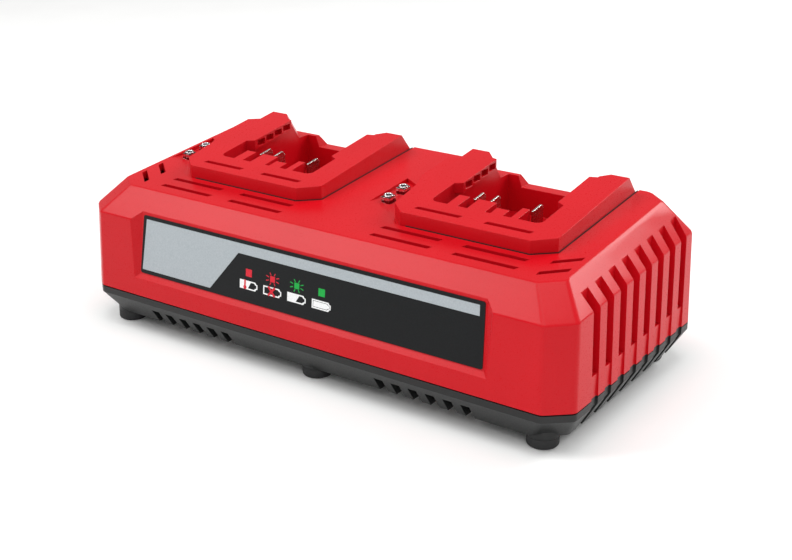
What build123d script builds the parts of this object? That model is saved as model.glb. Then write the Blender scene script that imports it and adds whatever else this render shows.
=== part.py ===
from build123d import *
import math
import os

# Dual-port slide-pack battery charger. Millimetres, +X along the housing,
# +Y to the rear, +Z up. The rubber feet stand on Z = 0 and the housing is
# centred on X = 0, Y = 0.

# ------------------------------------------------------------ housing envelope
body_length = 242.0        # X, at the parting line
body_depth = 119.0         # Y, at the parting line
parting_height = 18.2      # where the upper and lower housings meet
draft = 0.032              # lean of the red walls, mm per mm of height
shoulder_height = 52.6     # foot of the front bevel
shoulder_rise = 0.049      # rise of the shoulder line per mm rearwards
front_bevel_run = 11.0     # plan width of the front and rear bevels
side_bevel_run = 10.1      # plan width of the side bevels
top_height = 63.7          # front edge of the top deck
top_rise = 0.091           # rise of the top deck per mm rearwards
corner_cut_x = 9.8         # corner facets at the shoulder
corner_cut_y = 8.5
top_corner_cut_x = 8.7     # corner facets at the top deck
top_corner_cut_y = 6.7
corner_round = 3.5         # softening of the vertical corners
edge_round = 0.9           # softening of the shoulder and top edges
wall = 2.5                 # moulded wall
roof = 3.3                 # top deck thickness, deeper for the lamp recesses

# ------------------------------------------------------------ lower housing
base_strip = 3.3           # vertical strip below the parting line
base_run = 7.0             # inward run of the sloped skirt, front and rear
base_side_run = 5.9        # the same on the sides
base_clearance = 4.7       # underside above the standing surface
shadow_gap_height = 0.5    # dark line between the two housings
shadow_gap_depth = 0.8
side_overcut = 5.0         # how far cuts reach past the sides
top_overcut = 10.0         # how far dock cuts reach past the crest

# ------------------------------------------------------------ side grooves
groove_count = 8
groove_pitch = 10.95
groove_width = 5.5
groove_middle_y = 2.325     # middle of the row of grooves
groove_depth = 6.8         # from the side at the parting line
groove_ledge = 27.4        # height of the foot of the deep grooves
groove_shallow = 0.8       # depth of their run-out below the ledge
louvre_width = 3.0         # vent through the floor of each groove
louvre_height = 20.0

# ------------------------------------------------------------ skirt vents
vent_count = 6
vent_pitch = 8.0
vent_width = 4.0
vent_top = 11.3
vent_reach = 21.5          # from the front, at the parting line
vent_left_centre = -62.0
vent_right_centre = 57.7

# ------------------------------------------------------------ feet
foot_radius = 6.25
foot_pad = 4.2             # rubber below the moulded boss
foot_edge = 1.0
foot_side_inset = 15.0      # foot centres from the housing sides
foot_front_inset = 12.5
foot_rear_inset = 14.5
foot_stem_radius = 2.0
foot_stem_length = 4.0
stem_clearance = 0.05

# ------------------------------------------------------------ label recess
label_top_depth = 4.6      # floor behind the front, at its top
label_floor_top_z = 56.0
label_low_depth = 1.9      # floor behind the front, at its foot
label_floor_low_z = 28.2
label_top_left_inset = 34.3    # corners of the floor from the housing sides
label_top_right_inset = 35.8
label_low_left_inset = 32.3
label_low_right_inset = 35.0
recess_flare = 1.4         # run of the recess sides per mm of depth
label_inset = 0.5
label_top_gap = 1.1
label_thickness = 0.25
label_corner = 1.0

# ------------------------------------------------------------ top deck slots
slot_width = 2.3
slot_slant = 1.0
slot_row_front_share = 0.337   # rows between the deck's front edge and the docks
slot_row_rear_share = 0.742
slot_left_start = -32.6    # from the dock reference
slot_left_end = -4.3
slot_right_start = 5.4
slot_right_end = 33.8
corner_slot_width = 3.0
corner_slot_inner = 23.4   # inboard of the side wall
corner_slot_outer = 14.2
corner_slot_inset = 6.5    # behind the deck's front edge
corner_slot_pitch = 10.4
corner_slot_run = 7.9

# ------------------------------------------------------------ docks
dock_left_margin = 13.1    # left side of the housing to the left lamp recess
dock_pair_offset = 3.05    # the right dock stands this much left of its share
dock_shift = 3.2           # rail centre from the dock reference
dock_step = 5.53           # platform front edge above the top deck
dock_slope = 0.1365        # rise of the platform per mm rearwards
dock_front_y = -28.4
dock_crest_inset = 22.2    # top of the rear slope, from the rear
dock_heel_inset = 11.7     # foot of the rear slope, from the rear
apron_drop = 12.1          # crest down to the rear apron
notch_drop = 7.8           # apron down to the seat in the rear bevel
notch_inset = 18.0         # front of the seat, from the rear
dock_seat_depth = 0.8      # recess of the top deck below each dock
dock_gap = 0.4             # clearance round each dock
rail_half = 37.1           # half width of the platform
nose_left = 30.2
nose_right = 28.5
nose_setback = 6.3
cheek_y = -4.8
cheek_reach = 38.8
wing_front_y = 5.0
wing_rear_y = 24.8
wing_reach = 42.2
wing_return = 2.8
well_half = 25.2           # half width of the well between the rails
well_front_y = -14.4
well_rear_inset = 11.0     # rear end of the well, from the rear
well_depth = 20.0          # below the platform front edge
well_round = 3.0
tub_wall = 2.0
channel_half = 18.5        # rear channel floor
channel_depth = 5.1        # channel floor below the apron
channel_flare = 1.9        # widening of the channel up to the apron
lip_half = 21.8            # half gap between the rail lips
lip_thickness = 4.6
lip_front_y = 3.6
lip_setback = 5.4          # rear end of the lips before the crest
lip_lead = 1.7
lead_in_x = 28.8            # rail mouth at the crest
mouth_half = 30.8          # rail mouth at the apron
pocket_count = 4
pocket_web = 1.05          # wall between two pockets
pocket_height = 2.6
pocket_depth = 2.2
pocket_first_inset = 6.2   # first pocket behind the front of its lip
pocket_last_inset = 3.65   # last pocket before the rear of its lip
bar_slot_y = -22.3
bar_slot_width = 2.1
bar_left_start = -27.2
bar_left_end = -5.5
bar_right_start = 4.9
bar_right_end = 26.2
comb_drop = 11.0           # depth of the terminal comb
comb = (                   # left edge, right edge and rear end of each finger
    (-17.2, -12.3, -5.0),
    (-7.9, 0.4, -5.3),
    (2.7, 8.4, -9.2),
    (12.0, 15.2, -5.1),
)

# ------------------------------------------------------------ terminals
block_half = 20.0
block_rear_y = 8.0
block_height = 10.5
block_gap = 0.3
collar_height = 1.5
collar_wall = 1.1
blade_thickness = 0.8
blade_front_y = -4.5
blade_rear_y = 3.9
blade_rise = 12.8          # above the terminal block
blade_slope = 0.12
blade_lead = 1.6
blade_foot = 5.0           # buried in the block
blade_tail_width = 3.0
blade_slot_clearance = 0.1
blade_positions = {"positive": -10.5, "signal": -3.5, "negative": 15.9}
dock_board_length = 44.0
dock_board_depth = 26.0
dock_board_y = 2.0
dock_board_drop = 2.0      # standoffs under the tub
tail_stub = 0.7            # blade tail below its board

# ------------------------------------------------------------ lamps
lamp_x = -47.1             # from the dock reference
lamp_front_y = -7.7
lamp_rear_y = 3.3
lamp_recess = 1.7
lamp_left = -52.2
lamp_front_corner_y = -14.3
lamp_rear_corner_y = 14.1
lamp_nose_x = -33.9
lamp_nose_y = -30.5
lamp_tail_x = -44.5
lamp_tail_y = 9.5
lamp_ramp = 7.0
lens_size = 4.5
lens_stand = 1.0           # lens above the top deck
lens_clearance = 0.1
lens_flange = 1.0
lens_flange_thickness = 1.2
led_size = 3.0
led_height = 1.4
led_gap = 0.3
lamp_board_width = 9.0
lamp_board_reach = 13.2
lamp_post_radius = 1.8
lamp_pin_radius = 0.9
lamp_post_reach = 11.0

# ------------------------------------------------------------ fasteners
screw_radius = 1.5
screw_pilot_clearance = 0.05
screw_through_clearance = 0.25
screw_head_radius = 2.8
screw_head_height = 2.2
head_clearance = 0.3
boss_radius = 3.8
lower_boss_radius = 4.6
counterbore = 5.0
housing_screw_bite = 12.0
housing_screw_side_inset = 22.0    # from the housing side
housing_screw_middle_x = 14.0
housing_screw_front_y = -21.0
housing_screw_rear_inset = 18.5
housing_screw_middle_inset = 19.5
dock_screw_x = 32.5
dock_screw_front_y = -20.0
dock_screw_setback = 3.3   # rear dock screws before the crest
dock_screw_bite = 4.5

# ------------------------------------------------------------ cord gland
cord_radius = 3.6
gland_x = 3.2
gland_z = 30.7
gland_neck = 6.2
gland_flange = 8.4
gland_flange_thickness = 1.8
gland_lip = 1.8
gland_clearance = 0.1

# ------------------------------------------------------------ electronics
board_thickness = 1.6
board_fan_gap = 6.0
board_right = 90.0
board_half_depth = 34.0
board_standoff = 5.0
standoff_radius = 3.0
board_screw_inset_x = 6.0
board_screw_inset_y = 5.0
board_screw_bite = 3.5
core_x = 4.0               # transformer
core_y = -4.0
core_half_x = 17.0
core_half_y = 14.0
core_height = 26.0
core_leg = 5.0             # half width of the middle leg and height of the yokes
core_window = 7.0
winding_gap = 0.3
sink_plate = 3.0           # heatsink plates and fins
sink_fin = 1.6
sink_height = 28.0
primary_sink_length = 50.0
primary_sink_inset = 8.0   # before the right end of the board
primary_sink_y = -11.0
primary_sink_fins = 9
primary_sink_reach = 10.0
output_sink_length = 40.0
output_sink_inset = 14.0   # behind the left end of the board
output_sink_y = -19.0
output_sink_fins = 7
output_sink_reach = 8.0
package_half = 5.0         # power packages
package_depth = 4.4
package_foot = 4.0
package_top = 19.0
package_pitch = 2.5
input_can_x = 36.0
input_can_y = 20.0
input_can_radius = 9.0
input_can_height = 28.0
output_can_shift = 19.5    # from the rail centre of the left dock
output_can_front_y = 1.0
output_can_rear_y = 16.0
output_can_radius = 6.0
output_can_height = 22.0
choke_inset = 16.0         # before the right end of the board
choke_y = 18.0
choke_radius = 9.0
choke_bore = 4.0
choke_height = 11.0
choke_round = 2.0
fuse_x = -16.0
fuse_y = 27.0
fuse_half_length = 10.0
fuse_radius = 2.6
fuse_clip = 2.5
inlet_x = 8.0
inlet_setback = 12.5       # before the middle rear screw
inlet_half_x = 7.0
inlet_half_y = 4.5
inlet_height = 11.0
lead_y = 11.0              # leads of each dock, down to the main board
lead_pitch = 2.6
lead_radius = 0.9
plug_half_x = 6.0
plug_half_y = 3.0
plug_height = 6.0

# ------------------------------------------------------------ cooling fan
fan_inset = 29.0           # left face of the fan frame, from the end of the body
fan_size = 40.0
fan_thickness = 10.0
fan_rim = 1.5              # frame left beside the bore
fan_hub = 8.5
fan_blades = 7
fan_blade_tip_gap = 0.9
fan_blade_pitch = 38.0
fan_blade_thickness = 1.0
fan_spider = 1.5
fan_pin_radius = 1.5
fan_pin_clearance = 0.05
fan_axial_gap = 0.6
fan_cap = 0.7
fan_fit = 0.4              # height of the locating ribs' clearance
fan_rib = 1.6
fan_rib_height = 4.0

# ------------------------------------------------------------ derived heights
half_length = body_length / 2
half_depth = body_depth / 2
shoulder_lean = draft * (shoulder_height - parting_height)
shoulder_half_x = half_length - shoulder_lean
shoulder_half_y = half_depth - shoulder_lean
top_half_x = shoulder_half_x - side_bevel_run
top_half_y = shoulder_half_y - front_bevel_run
shoulder_base = shoulder_height + shoulder_rise * shoulder_half_y
top_base = top_height + top_rise * top_half_y
groove_floor_x = half_length - groove_depth
inner_half_x = groove_floor_x - wall
label_floor_top_y = label_top_depth - half_depth
label_floor_low_y = label_low_depth - half_depth
label_top_left = label_top_left_inset - half_length
label_top_right = half_length - label_top_right_inset
label_low_left = label_low_left_inset - half_length
label_low_right = half_length - label_low_right_inset
inner_half_y = -label_floor_top_y - wall
groove_first_y = groove_middle_y - groove_pitch * (groove_count - 1) / 2
vent_rear_y = vent_reach - half_depth
foot_reach_x = half_length - foot_side_inset
foot_front_y = foot_front_inset - half_depth
foot_rear_y = half_depth - foot_rear_inset
slot_row_room = top_half_y + dock_front_y
slot_row_front_y = slot_row_front_share * slot_row_room - top_half_y
slot_row_rear_y = slot_row_rear_share * slot_row_room - top_half_y
corner_slot_front_y = corner_slot_inset - top_half_y
corner_slot_rear_y = corner_slot_front_y + corner_slot_pitch
dock_module = rail_half + dock_shift - lamp_left
dock_room = body_length - dock_left_margin - 2 * dock_module
dock_spacing = dock_module + dock_room / 2 - dock_pair_offset
left_reference = dock_left_margin - lamp_left - half_length
dock_reference = {-1: left_reference, 1: left_reference + dock_spacing}
dock_crest_y = half_depth - dock_crest_inset
dock_heel_y = half_depth - dock_heel_inset
notch_front_y = half_depth - notch_inset
well_rear_y = half_depth - well_rear_inset
lip_rear_y = dock_crest_y - lip_setback
pocket_first_y = lip_front_y + pocket_first_inset
pocket_pitch = (lip_rear_y - pocket_last_inset - pocket_first_y) / (pocket_count - 1)
pocket_length = pocket_pitch - pocket_web
housing_screw_side_x = half_length - housing_screw_side_inset
housing_screw_rear_y = half_depth - housing_screw_rear_inset
housing_screw_middle_y = half_depth - housing_screw_middle_inset
dock_screw_rear_y = dock_crest_y - dock_screw_setback
fan_bore = fan_size / 2 - fan_rim
fan_x = fan_inset - half_length
board_left = fan_x + fan_thickness + board_fan_gap
inlet_y = housing_screw_middle_y - inlet_setback


def top_z(y):
    """Height of the top deck at y."""
    return top_base + top_rise * y


dock_front_z = top_z(dock_front_y) + dock_step


def platform_z(y):
    """Height of a dock platform at y."""
    return dock_front_z + dock_slope * (y - dock_front_y)


crest_z = platform_z(dock_crest_y)
apron_z = crest_z - apron_drop
seat_z = apron_z - notch_drop
channel_z = apron_z - channel_depth
well_floor = dock_front_z - well_depth
tub_bottom = well_floor - tub_wall
block_top = well_floor + block_height
base_inner_floor = base_clearance + wall
board_z = base_inner_floor + board_standoff
board_top = board_z + board_thickness
dock_board_z = tub_bottom - dock_board_drop


# ------------------------------------------------------------ shape helpers
def tilted(height, slope):
    """Plane that holds the X axis direction and rises by slope along Y."""
    return Plane(origin=(0, 0, height), x_dir=(1, 0, 0), z_dir=(0, -slope, 1))


TOP = tilted(top_base, top_rise)
TOP_STRETCH = math.sqrt(1 + top_rise**2)


def on_top(x, y, z=0.0):
    """Location on the top deck below plan point x, y, raised by z along its normal."""
    return TOP * Pos(x, y * TOP_STRETCH, z)


def ring(half_x, half_y, cut_x, cut_y, radius, height, slope):
    """Eight-sided outline with softened corners on a tilted plane."""
    k = math.sqrt(1 + slope**2)
    front = -half_y * k
    rear = half_y * k
    cut = cut_y * k
    points = [
        (-half_x, front + cut),
        (-half_x + cut_x, front),
        (half_x - cut_x, front),
        (half_x, front + cut),
        (half_x, rear - cut),
        (half_x - cut_x, rear),
        (-half_x + cut_x, rear),
        (-half_x, rear - cut),
    ]
    face = Polygon(*points, align=None)
    return tilted(height, slope) * fillet(face.vertices(), radius)


def between(a, b, share):
    """Blend of two ring descriptions."""
    return tuple(p + (q - p) * share for p, q in zip(a, b))


def stacked(rings):
    """Straight-walled solid through a stack of rings."""
    return loft([ring(*values) for values in rings], ruled=True)


def prism(points, low, high):
    """Vertical prism on a plan polygon between two heights."""
    return Pos(0, 0, low) * extrude(Polygon(*points, align=None), high - low, dir=(0, 0, 1))


def block(x0, x1, y0, y1, z0, z1):
    """Box between two corners."""
    return Pos((x0 + x1) / 2, (y0 + y1) / 2, (z0 + z1) / 2) * Box(x1 - x0, y1 - y0, z1 - z0)


def pin(x, y, z0, z1, radius):
    """Vertical cylinder between two heights."""
    return Pos(x, y, (z0 + z1) / 2) * Cylinder(radius, z1 - z0)


def bar_x(x0, x1, y, z, radius):
    """Cylinder along X."""
    return Pos((x0 + x1) / 2, y, z) * Rot(0, 90, 0) * Cylinder(radius, x1 - x0)


def bar_y(x, y0, y1, z, radius):
    """Cylinder along Y."""
    return Pos(x, (y0 + y1) / 2, z) * Rot(90, 0, 0) * Cylinder(radius, y1 - y0)


def side_profile(points, half_width):
    """Solid of a (y, z) outline, half_width to each side of X = 0."""
    return extrude(Plane.YZ * Polygon(*points, align=None), half_width, both=True)


def joined(shapes):
    """One shape from several that touch or overlap."""
    shapes = list(shapes)
    return shapes[0] + shapes[1:]


parts = {}


# ------------------------------------------------------------ upper housing
def outer_shell():
    """Outside of the red housing, with softened shoulder and top edges."""
    foot = (half_length, half_depth, corner_cut_x, corner_cut_y, corner_round, parting_height, 0.0)
    shoulder = (
        shoulder_half_x, shoulder_half_y, corner_cut_x, corner_cut_y, corner_round,
        shoulder_base, shoulder_rise,
    )
    top = (
        top_half_x, top_half_y, top_corner_cut_x, top_corner_cut_y, corner_round * 0.85,
        top_base, top_rise,
    )
    wall_share = edge_round * 0.5 / (shoulder_height - parting_height)
    bevel_share = edge_round * 0.5 / (top_height - shoulder_height)
    top_trim = edge_round * 0.5
    rim = (
        top_half_x - top_trim, top_half_y - top_trim, top_corner_cut_x, top_corner_cut_y,
        corner_round * 0.85, top_base, top_rise,
    )
    return stacked([
        foot,
        between(foot, shoulder, 1 - wall_share),
        between(shoulder, top, bevel_share),
        between(shoulder, top, 1 - bevel_share),
        rim,
    ])


def inner_hollow():
    """Room inside the red housing."""
    ledge = label_floor_low_z - wall - recess_flare
    low = ring(
        half_length - wall, half_depth - wall, corner_cut_x, corner_cut_y, corner_round,
        parting_height, 0.0,
    )
    lower = extrude(low, ledge - wall - parting_height)
    roof_base = top_base - roof * TOP_STRETCH
    upper = stacked([
        (inner_half_x, inner_half_y, corner_cut_x, corner_cut_y, corner_round, parting_height, 0.0),
        (
            inner_half_x, inner_half_y, corner_cut_x, corner_cut_y, corner_round,
            shoulder_base + wall, shoulder_rise,
        ),
        (
            top_half_x - wall * 0.4, top_half_y - wall * 0.3, top_corner_cut_x, top_corner_cut_y,
            corner_round, roof_base, top_rise,
        ),
    ])
    return lower + upper


def label_plane():
    """Plane of the label, X along the housing and Y up the label."""
    lean = (label_floor_top_y - label_floor_low_y) / (label_floor_top_z - label_floor_low_z)
    return Plane(
        origin=(0, label_floor_low_y, label_floor_low_z), x_dir=(1, 0, 0), z_dir=(0, -1, lean)
    )


def label_recess():
    """Flared pocket of the front label; its floor runs out into the bevel."""
    rise = label_floor_top_z - label_floor_low_z
    reach = 5.0
    flare = recess_flare * reach
    over = front_bevel_run / 2
    floor = Polygon(
        (label_low_left, 0), (label_low_right, 0),
        (label_top_right, rise + over), (label_top_left, rise + over), align=None,
    )
    mouth = Polygon(
        (label_low_left - flare, -flare), (label_low_right + flare, -flare),
        (label_top_right + flare, rise + over), (label_top_left - flare, rise + over), align=None,
    )
    plane = label_plane()
    return loft([plane * floor, plane.offset(reach) * mouth], ruled=True)


def front_label():
    """Thin printed plate on the recess floor."""
    rise = label_floor_top_z - label_floor_low_z
    face = Polygon(
        (label_low_left + label_inset, label_inset),
        (label_low_right - label_inset, label_inset),
        (label_top_right - label_inset, rise - label_top_gap),
        (label_top_left + label_inset, rise - label_top_gap),
        align=None,
    )
    return label_plane() * extrude(fillet(face.vertices(), label_corner), label_thickness)


def side_grooves(height_over):
    """Deep grooves with their shallow run-outs, both sides."""
    cuts = []
    shallow_x = half_length - groove_shallow
    far = half_length + side_overcut
    for side in (-1, 1):
        for index in range(groove_count):
            y = groove_first_y + groove_pitch * index
            y0 = y - groove_width / 2
            y1 = y + groove_width / 2
            edges = sorted((side * groove_floor_x, side * far))
            cuts.append(block(*edges, y0, y1, groove_ledge, height_over))
            edges = sorted((side * shallow_x, side * far))
            cuts.append(block(*edges, y0, y1, parting_height - 1, groove_ledge + 1))
            louvre = sorted((side * (inner_half_x - 1), side * (groove_floor_x + 1)))
            foot = groove_ledge + wall
            cuts.append(block(
                *louvre, y - louvre_width / 2, y + louvre_width / 2, foot, foot + louvre_height,
            ))
    return cuts


def slanted_slot(x0, x1, y, width, low, high):
    """Vertical cutter of a slot with slanted ends."""
    half = width / 2
    return prism(
        [(x0, y - half), (x1 - slot_slant, y - half), (x1, y + half), (x0 + slot_slant, y + half)],
        low, high,
    )


def deck_slots(reach):
    """Slots through the top deck, in front of each dock and at the corners."""
    low = top_base - 2 * roof - top_rise * half_depth
    high = top_base + reach
    cuts = []
    for side in (-1, 1):
        x = dock_reference[side]
        for y in (slot_row_front_y, slot_row_rear_y):
            cuts.append(slanted_slot(x + slot_left_start, x + slot_left_end, y, slot_width, low, high))
            cuts.append(slanted_slot(x + slot_right_start, x + slot_right_end, y, slot_width, low, high))
        inner = side * (half_length - corner_slot_inner)
        outer = side * (half_length - corner_slot_outer)
        for y in (corner_slot_front_y, corner_slot_rear_y):
            run = corner_slot_run
            half = corner_slot_width / 2
            cuts.append(prism(
                [(inner, y - half), (outer, y + run - half), (outer, y + run + half), (inner, y + half)],
                low, high,
            ))
    return cuts


def platform_outline():
    """Plan of a dock platform about its rail centre."""
    rear = half_depth + 1
    return Polygon(
        (-nose_left, dock_front_y),
        (nose_right, dock_front_y),
        (rail_half, dock_front_y + nose_setback),
        (rail_half, rear),
        (-rail_half, rear),
        (-rail_half, wing_rear_y + wing_return),
        (-wing_reach, wing_rear_y),
        (-wing_reach, wing_front_y),
        (-cheek_reach, cheek_y),
        (-rail_half, dock_front_y + nose_setback),
        align=None,
    )


def platform_prism(grow, low, high):
    """Vertical prism on the platform plan, grown by a clearance."""
    face = platform_outline()
    if grow > 0:
        face = offset(face, grow, kind=Kind.INTERSECTION)
    return Pos(0, 0, low) * extrude(face, high - low)


def above_top(depth):
    """Everything above the top deck lowered by depth."""
    return TOP.offset(-depth) * Box(
        2 * body_length, 2 * body_depth, body_depth, align=(Align.CENTER, Align.CENTER, Align.MIN)
    )


def lamp_recess_cutter(centre):
    """Recess beside a dock that holds two status lamps, ramped up at the front."""
    low = top_base - 2 * roof
    high = top_base + body_depth / 2
    x = centre
    inner = x - nose_left + dock_shift
    outline = [
        (x + lamp_left, lamp_front_corner_y),
        (x + lamp_nose_x, lamp_nose_y),
        (inner, dock_front_y + dock_gap),
        (x + dock_shift - cheek_reach + 2, cheek_y),
        (x + dock_shift - wing_reach, wing_front_y),
        (x + lamp_tail_x, lamp_tail_y),
        (x + lamp_left, lamp_rear_corner_y),
    ]
    solid = prism(outline, low, high) & above_top(lamp_recess)
    dock = Pos(x + dock_shift, 0, 0) * platform_prism(dock_gap, low - 1, high + 1)
    solid = solid - dock
    run_x = lamp_nose_x - lamp_left
    run_y = lamp_nose_y - lamp_front_corner_y
    length = math.hypot(run_x, run_y)
    start = on_top(x + lamp_left, lamp_front_corner_y).position
    along = on_top(x + lamp_nose_x, lamp_nose_y).position - start
    inward = Vector(-run_y / length, run_x / length, 0)
    foot = Vector(start.X, start.Y, start.Z) + inward * lamp_ramp
    foot = Vector(foot.X, foot.Y, top_z(foot.Y) - lamp_recess)
    down = foot - start
    normal = along.cross(down)
    if normal.Z < 0:
        normal = normal * -1
    ramp = Plane(origin=start, x_dir=along, z_dir=normal)
    keep = ramp * Box(
        4 * body_depth, 4 * body_depth, body_depth, align=(Align.CENTER, Align.CENTER, Align.MIN)
    )
    return solid & keep


def housing_screw_points():
    """Plan positions of the screws that join the two housings."""
    side = housing_screw_side_x
    return [
        (-side, housing_screw_front_y),
        (side, housing_screw_front_y),
        (-side, housing_screw_rear_y),
        (side, housing_screw_rear_y),
        (housing_screw_middle_x, -housing_screw_middle_y),
        (housing_screw_middle_x, housing_screw_middle_y),
    ]


def dock_screw_points():
    """Plan positions of the dock screws about a rail centre."""
    return [
        (sx * dock_screw_x, y) for sx in (-1, 1) for y in (dock_screw_front_y, dock_screw_rear_y)
    ]


def rear_wall_y(z):
    """Rear face of the red housing at height z, below its shoulder."""
    return half_depth - draft * (z - parting_height)


def make_upper_housing():
    """Red upper housing with grooves, recesses, dock seats and bosses."""
    shell = outer_shell() - inner_hollow()
    pilot = screw_radius + screw_pilot_clearance
    bosses = []
    for x, y in housing_screw_points():
        bosses.append(pin(x, y, parting_height, top_z(y) - roof / 2, boss_radius))
    post_foot = roof + lens_flange_thickness + led_gap + led_height
    for side in (-1, 1):
        x = dock_reference[side] + lamp_x
        middle = (lamp_front_y + lamp_rear_y) / 2
        for reach in (-lamp_post_reach, lamp_post_reach):
            place = on_top(x, middle + reach, -post_foot)
            bosses.append(place * Cylinder(
                lamp_post_radius, post_foot - roof / 2, align=(Align.CENTER, Align.CENTER, Align.MIN)
            ))
            bosses.append(place * Pos(0, 0, -2 * board_thickness) * Cylinder(
                lamp_pin_radius, 3 * board_thickness, align=(Align.CENTER, Align.CENTER, Align.MIN)
            ))
    shell = shell + bosses
    cuts = [label_recess()]
    cuts += side_grooves(top_base + body_depth)
    cuts += deck_slots(body_depth / 2)
    for x, y in housing_screw_points():
        cuts.append(pin(x, y, parting_height - 1, parting_height + housing_screw_bite + 1, pilot))
    shell = shell - cuts
    high = crest_z + top_overcut
    dock_cuts = []
    for side in (-1, 1):
        reference = dock_reference[side]
        centre = reference + dock_shift
        place = Pos(centre, 0, 0)
        gap = dock_gap
        seat = platform_prism(gap, top_base - 2 * roof, high) & above_top(dock_seat_depth)
        seat = seat - block(
            -body_length, body_length, notch_front_y - gap, body_depth, 0, high + 1
        )
        dock_cuts.append(place * seat)
        tub_half = well_half + tub_wall + gap
        dock_cuts.append(place * block(
            -tub_half, tub_half, well_front_y - tub_wall - gap, well_rear_y + tub_wall + gap,
            well_floor, high,
        ))
        dock_cuts.append(place * block(
            -rail_half - gap, rail_half + gap, notch_front_y - gap, body_depth, seat_z, high,
        ))
        dock_cuts.append(lamp_recess_cutter(reference))
        lens = lens_size + 2 * lens_clearance
        for y in (lamp_front_y, lamp_rear_y):
            dock_cuts.append(on_top(reference + lamp_x, y) * Box(lens, lens, 3 * roof))
        hole = screw_radius + screw_through_clearance
        for x, y in dock_screw_points():
            dock_cuts.append(on_top(centre + x, y) * Cylinder(hole, 3 * roof))
    shell = shell - dock_cuts
    flange = gland_flange + gland_clearance
    neck = gland_neck + gland_clearance
    rear = rear_wall_y(gland_z) - gland_flange_thickness - 0.2
    shell = shell - bar_y(gland_x, inner_half_y - 1, body_depth, gland_z, neck)
    shell = shell - bar_y(gland_x, rear, body_depth, gland_z, flange)
    return shell


parts["upper_housing"] = make_upper_housing()
parts["front_label"] = front_label()


# ------------------------------------------------------------ lower housing
def skirt_ring(drop, inset, z):
    """Ring of the lower housing: drop runs down the sloped skirt."""
    return (
        half_length - base_side_run * drop - inset, half_depth - base_run * drop - inset,
        corner_cut_x, corner_cut_y, corner_round, z, 0.0,
    )


def foot_points():
    """Plan positions of the feet, with their names."""
    names = {}
    for row, y in (("front", foot_front_y), ("rear", foot_rear_y)):
        for column, x in (("left", -foot_reach_x), ("middle", 0.0), ("right", foot_reach_x)):
            names["foot_" + row + "_" + column] = (x, y)
    return names


def make_lower_housing():
    """Black base with a sloped skirt, vents, foot bosses and board standoffs."""
    rim_foot = parting_height - shadow_gap_height
    strip_foot = parting_height - base_strip
    slope_inset = wall / math.sin(math.atan2(strip_foot - base_clearance, base_run))
    floor_drop = 1 - wall / (strip_foot - base_clearance)
    shell = stacked([
        skirt_ring(1, 0, base_clearance),
        skirt_ring(0, 0, strip_foot),
        skirt_ring(0, 0, rim_foot),
    ])
    rim = extrude(ring(*skirt_ring(0, shadow_gap_depth, rim_foot - wall / 2)),
                  shadow_gap_height + wall / 2)
    shell = shell + rim
    shell = shell - stacked([
        skirt_ring(floor_drop, slope_inset, base_inner_floor),
        skirt_ring(0, slope_inset, strip_foot + wall / 4),
        skirt_ring(0, wall, strip_foot + wall / 2),
        skirt_ring(0, wall, parting_height + 1),
    ])
    additions = []
    for x, y in foot_points().values():
        additions.append(pin(x, y, foot_pad, strip_foot - wall, foot_radius))
    for x, y in housing_screw_points():
        additions.append(pin(x, y, base_clearance, parting_height, lower_boss_radius))
    for x, y in board_screw_points():
        additions.append(pin(x, y, base_clearance, board_z, standoff_radius))
    fan_low = fan_x - fan_fit - fan_rib
    fan_high = fan_x + fan_thickness + fan_fit
    for x in (fan_low, fan_high):
        additions.append(block(
            x, x + fan_rib, -fan_size / 2, fan_size / 2,
            base_inner_floor - wall / 2, base_inner_floor + fan_rib_height,
        ))
    shell = shell + additions
    cuts = []
    bore = screw_radius + screw_through_clearance
    head = screw_head_radius + head_clearance
    for x, y in housing_screw_points():
        cuts.append(pin(x, y, 0, parting_height + 1, bore))
        cuts.append(pin(x, y, 0, base_clearance + counterbore, head))
    pilot = screw_radius + screw_pilot_clearance
    for x, y in board_screw_points():
        cuts.append(pin(x, y, board_z - board_screw_bite - 1, board_z + 1, pilot))
    stem = foot_stem_radius + stem_clearance
    for x, y in foot_points().values():
        cuts.append(pin(x, y, 0, foot_pad + foot_stem_length + 0.2, stem))
    for centre in (vent_left_centre, vent_right_centre):
        for index in range(vent_count):
            x = centre + vent_pitch * (index - (vent_count - 1) / 2)
            cuts.append(block(
                x - vent_width / 2, x + vent_width / 2, -body_depth, vent_rear_y, 0, vent_top,
            ))
    slope = (strip_foot - base_clearance) / base_side_run
    lean = math.hypot(1, 1 / slope)
    shallow = groove_shallow * lean
    for side in (-1, 1):
        outline = [
            (half_length + side_overcut, parting_height + 1),
            (half_length - groove_shallow, parting_height + 1),
            (half_length - groove_shallow, strip_foot),
            (half_length - base_side_run - shallow, base_clearance),
            (half_length - base_side_run - shallow, 0),
            (half_length + side_overcut, 0),
        ]
        outline = [(side * a, b) for a, b in outline]
        for index in range(groove_count):
            y = groove_first_y + groove_pitch * index
            face = Plane.XZ * Polygon(*outline, align=None)
            cuts.append(Pos(0, y, 0) * extrude(face, groove_width / 2, both=True))
    return shell - cuts


def board_screw_points():
    """Plan positions of the main board screws."""
    y = board_half_depth - board_screw_inset_y
    return [
        (x, sy * y)
        for x in (board_left + board_screw_inset_x, board_right - board_screw_inset_x)
        for sy in (-1, 1)
    ]


parts["lower_housing"] = make_lower_housing()

for name, (x, y) in foot_points().items():
    pad = pin(x, y, 0, foot_pad, foot_radius)
    pad = fillet(pad.edges().group_by(Axis.Z)[0], min(foot_edge, 0.9 * foot_pad))
    parts[name] = pad + pin(x, y, foot_pad / 2, foot_pad + foot_stem_length, foot_stem_radius)


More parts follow.
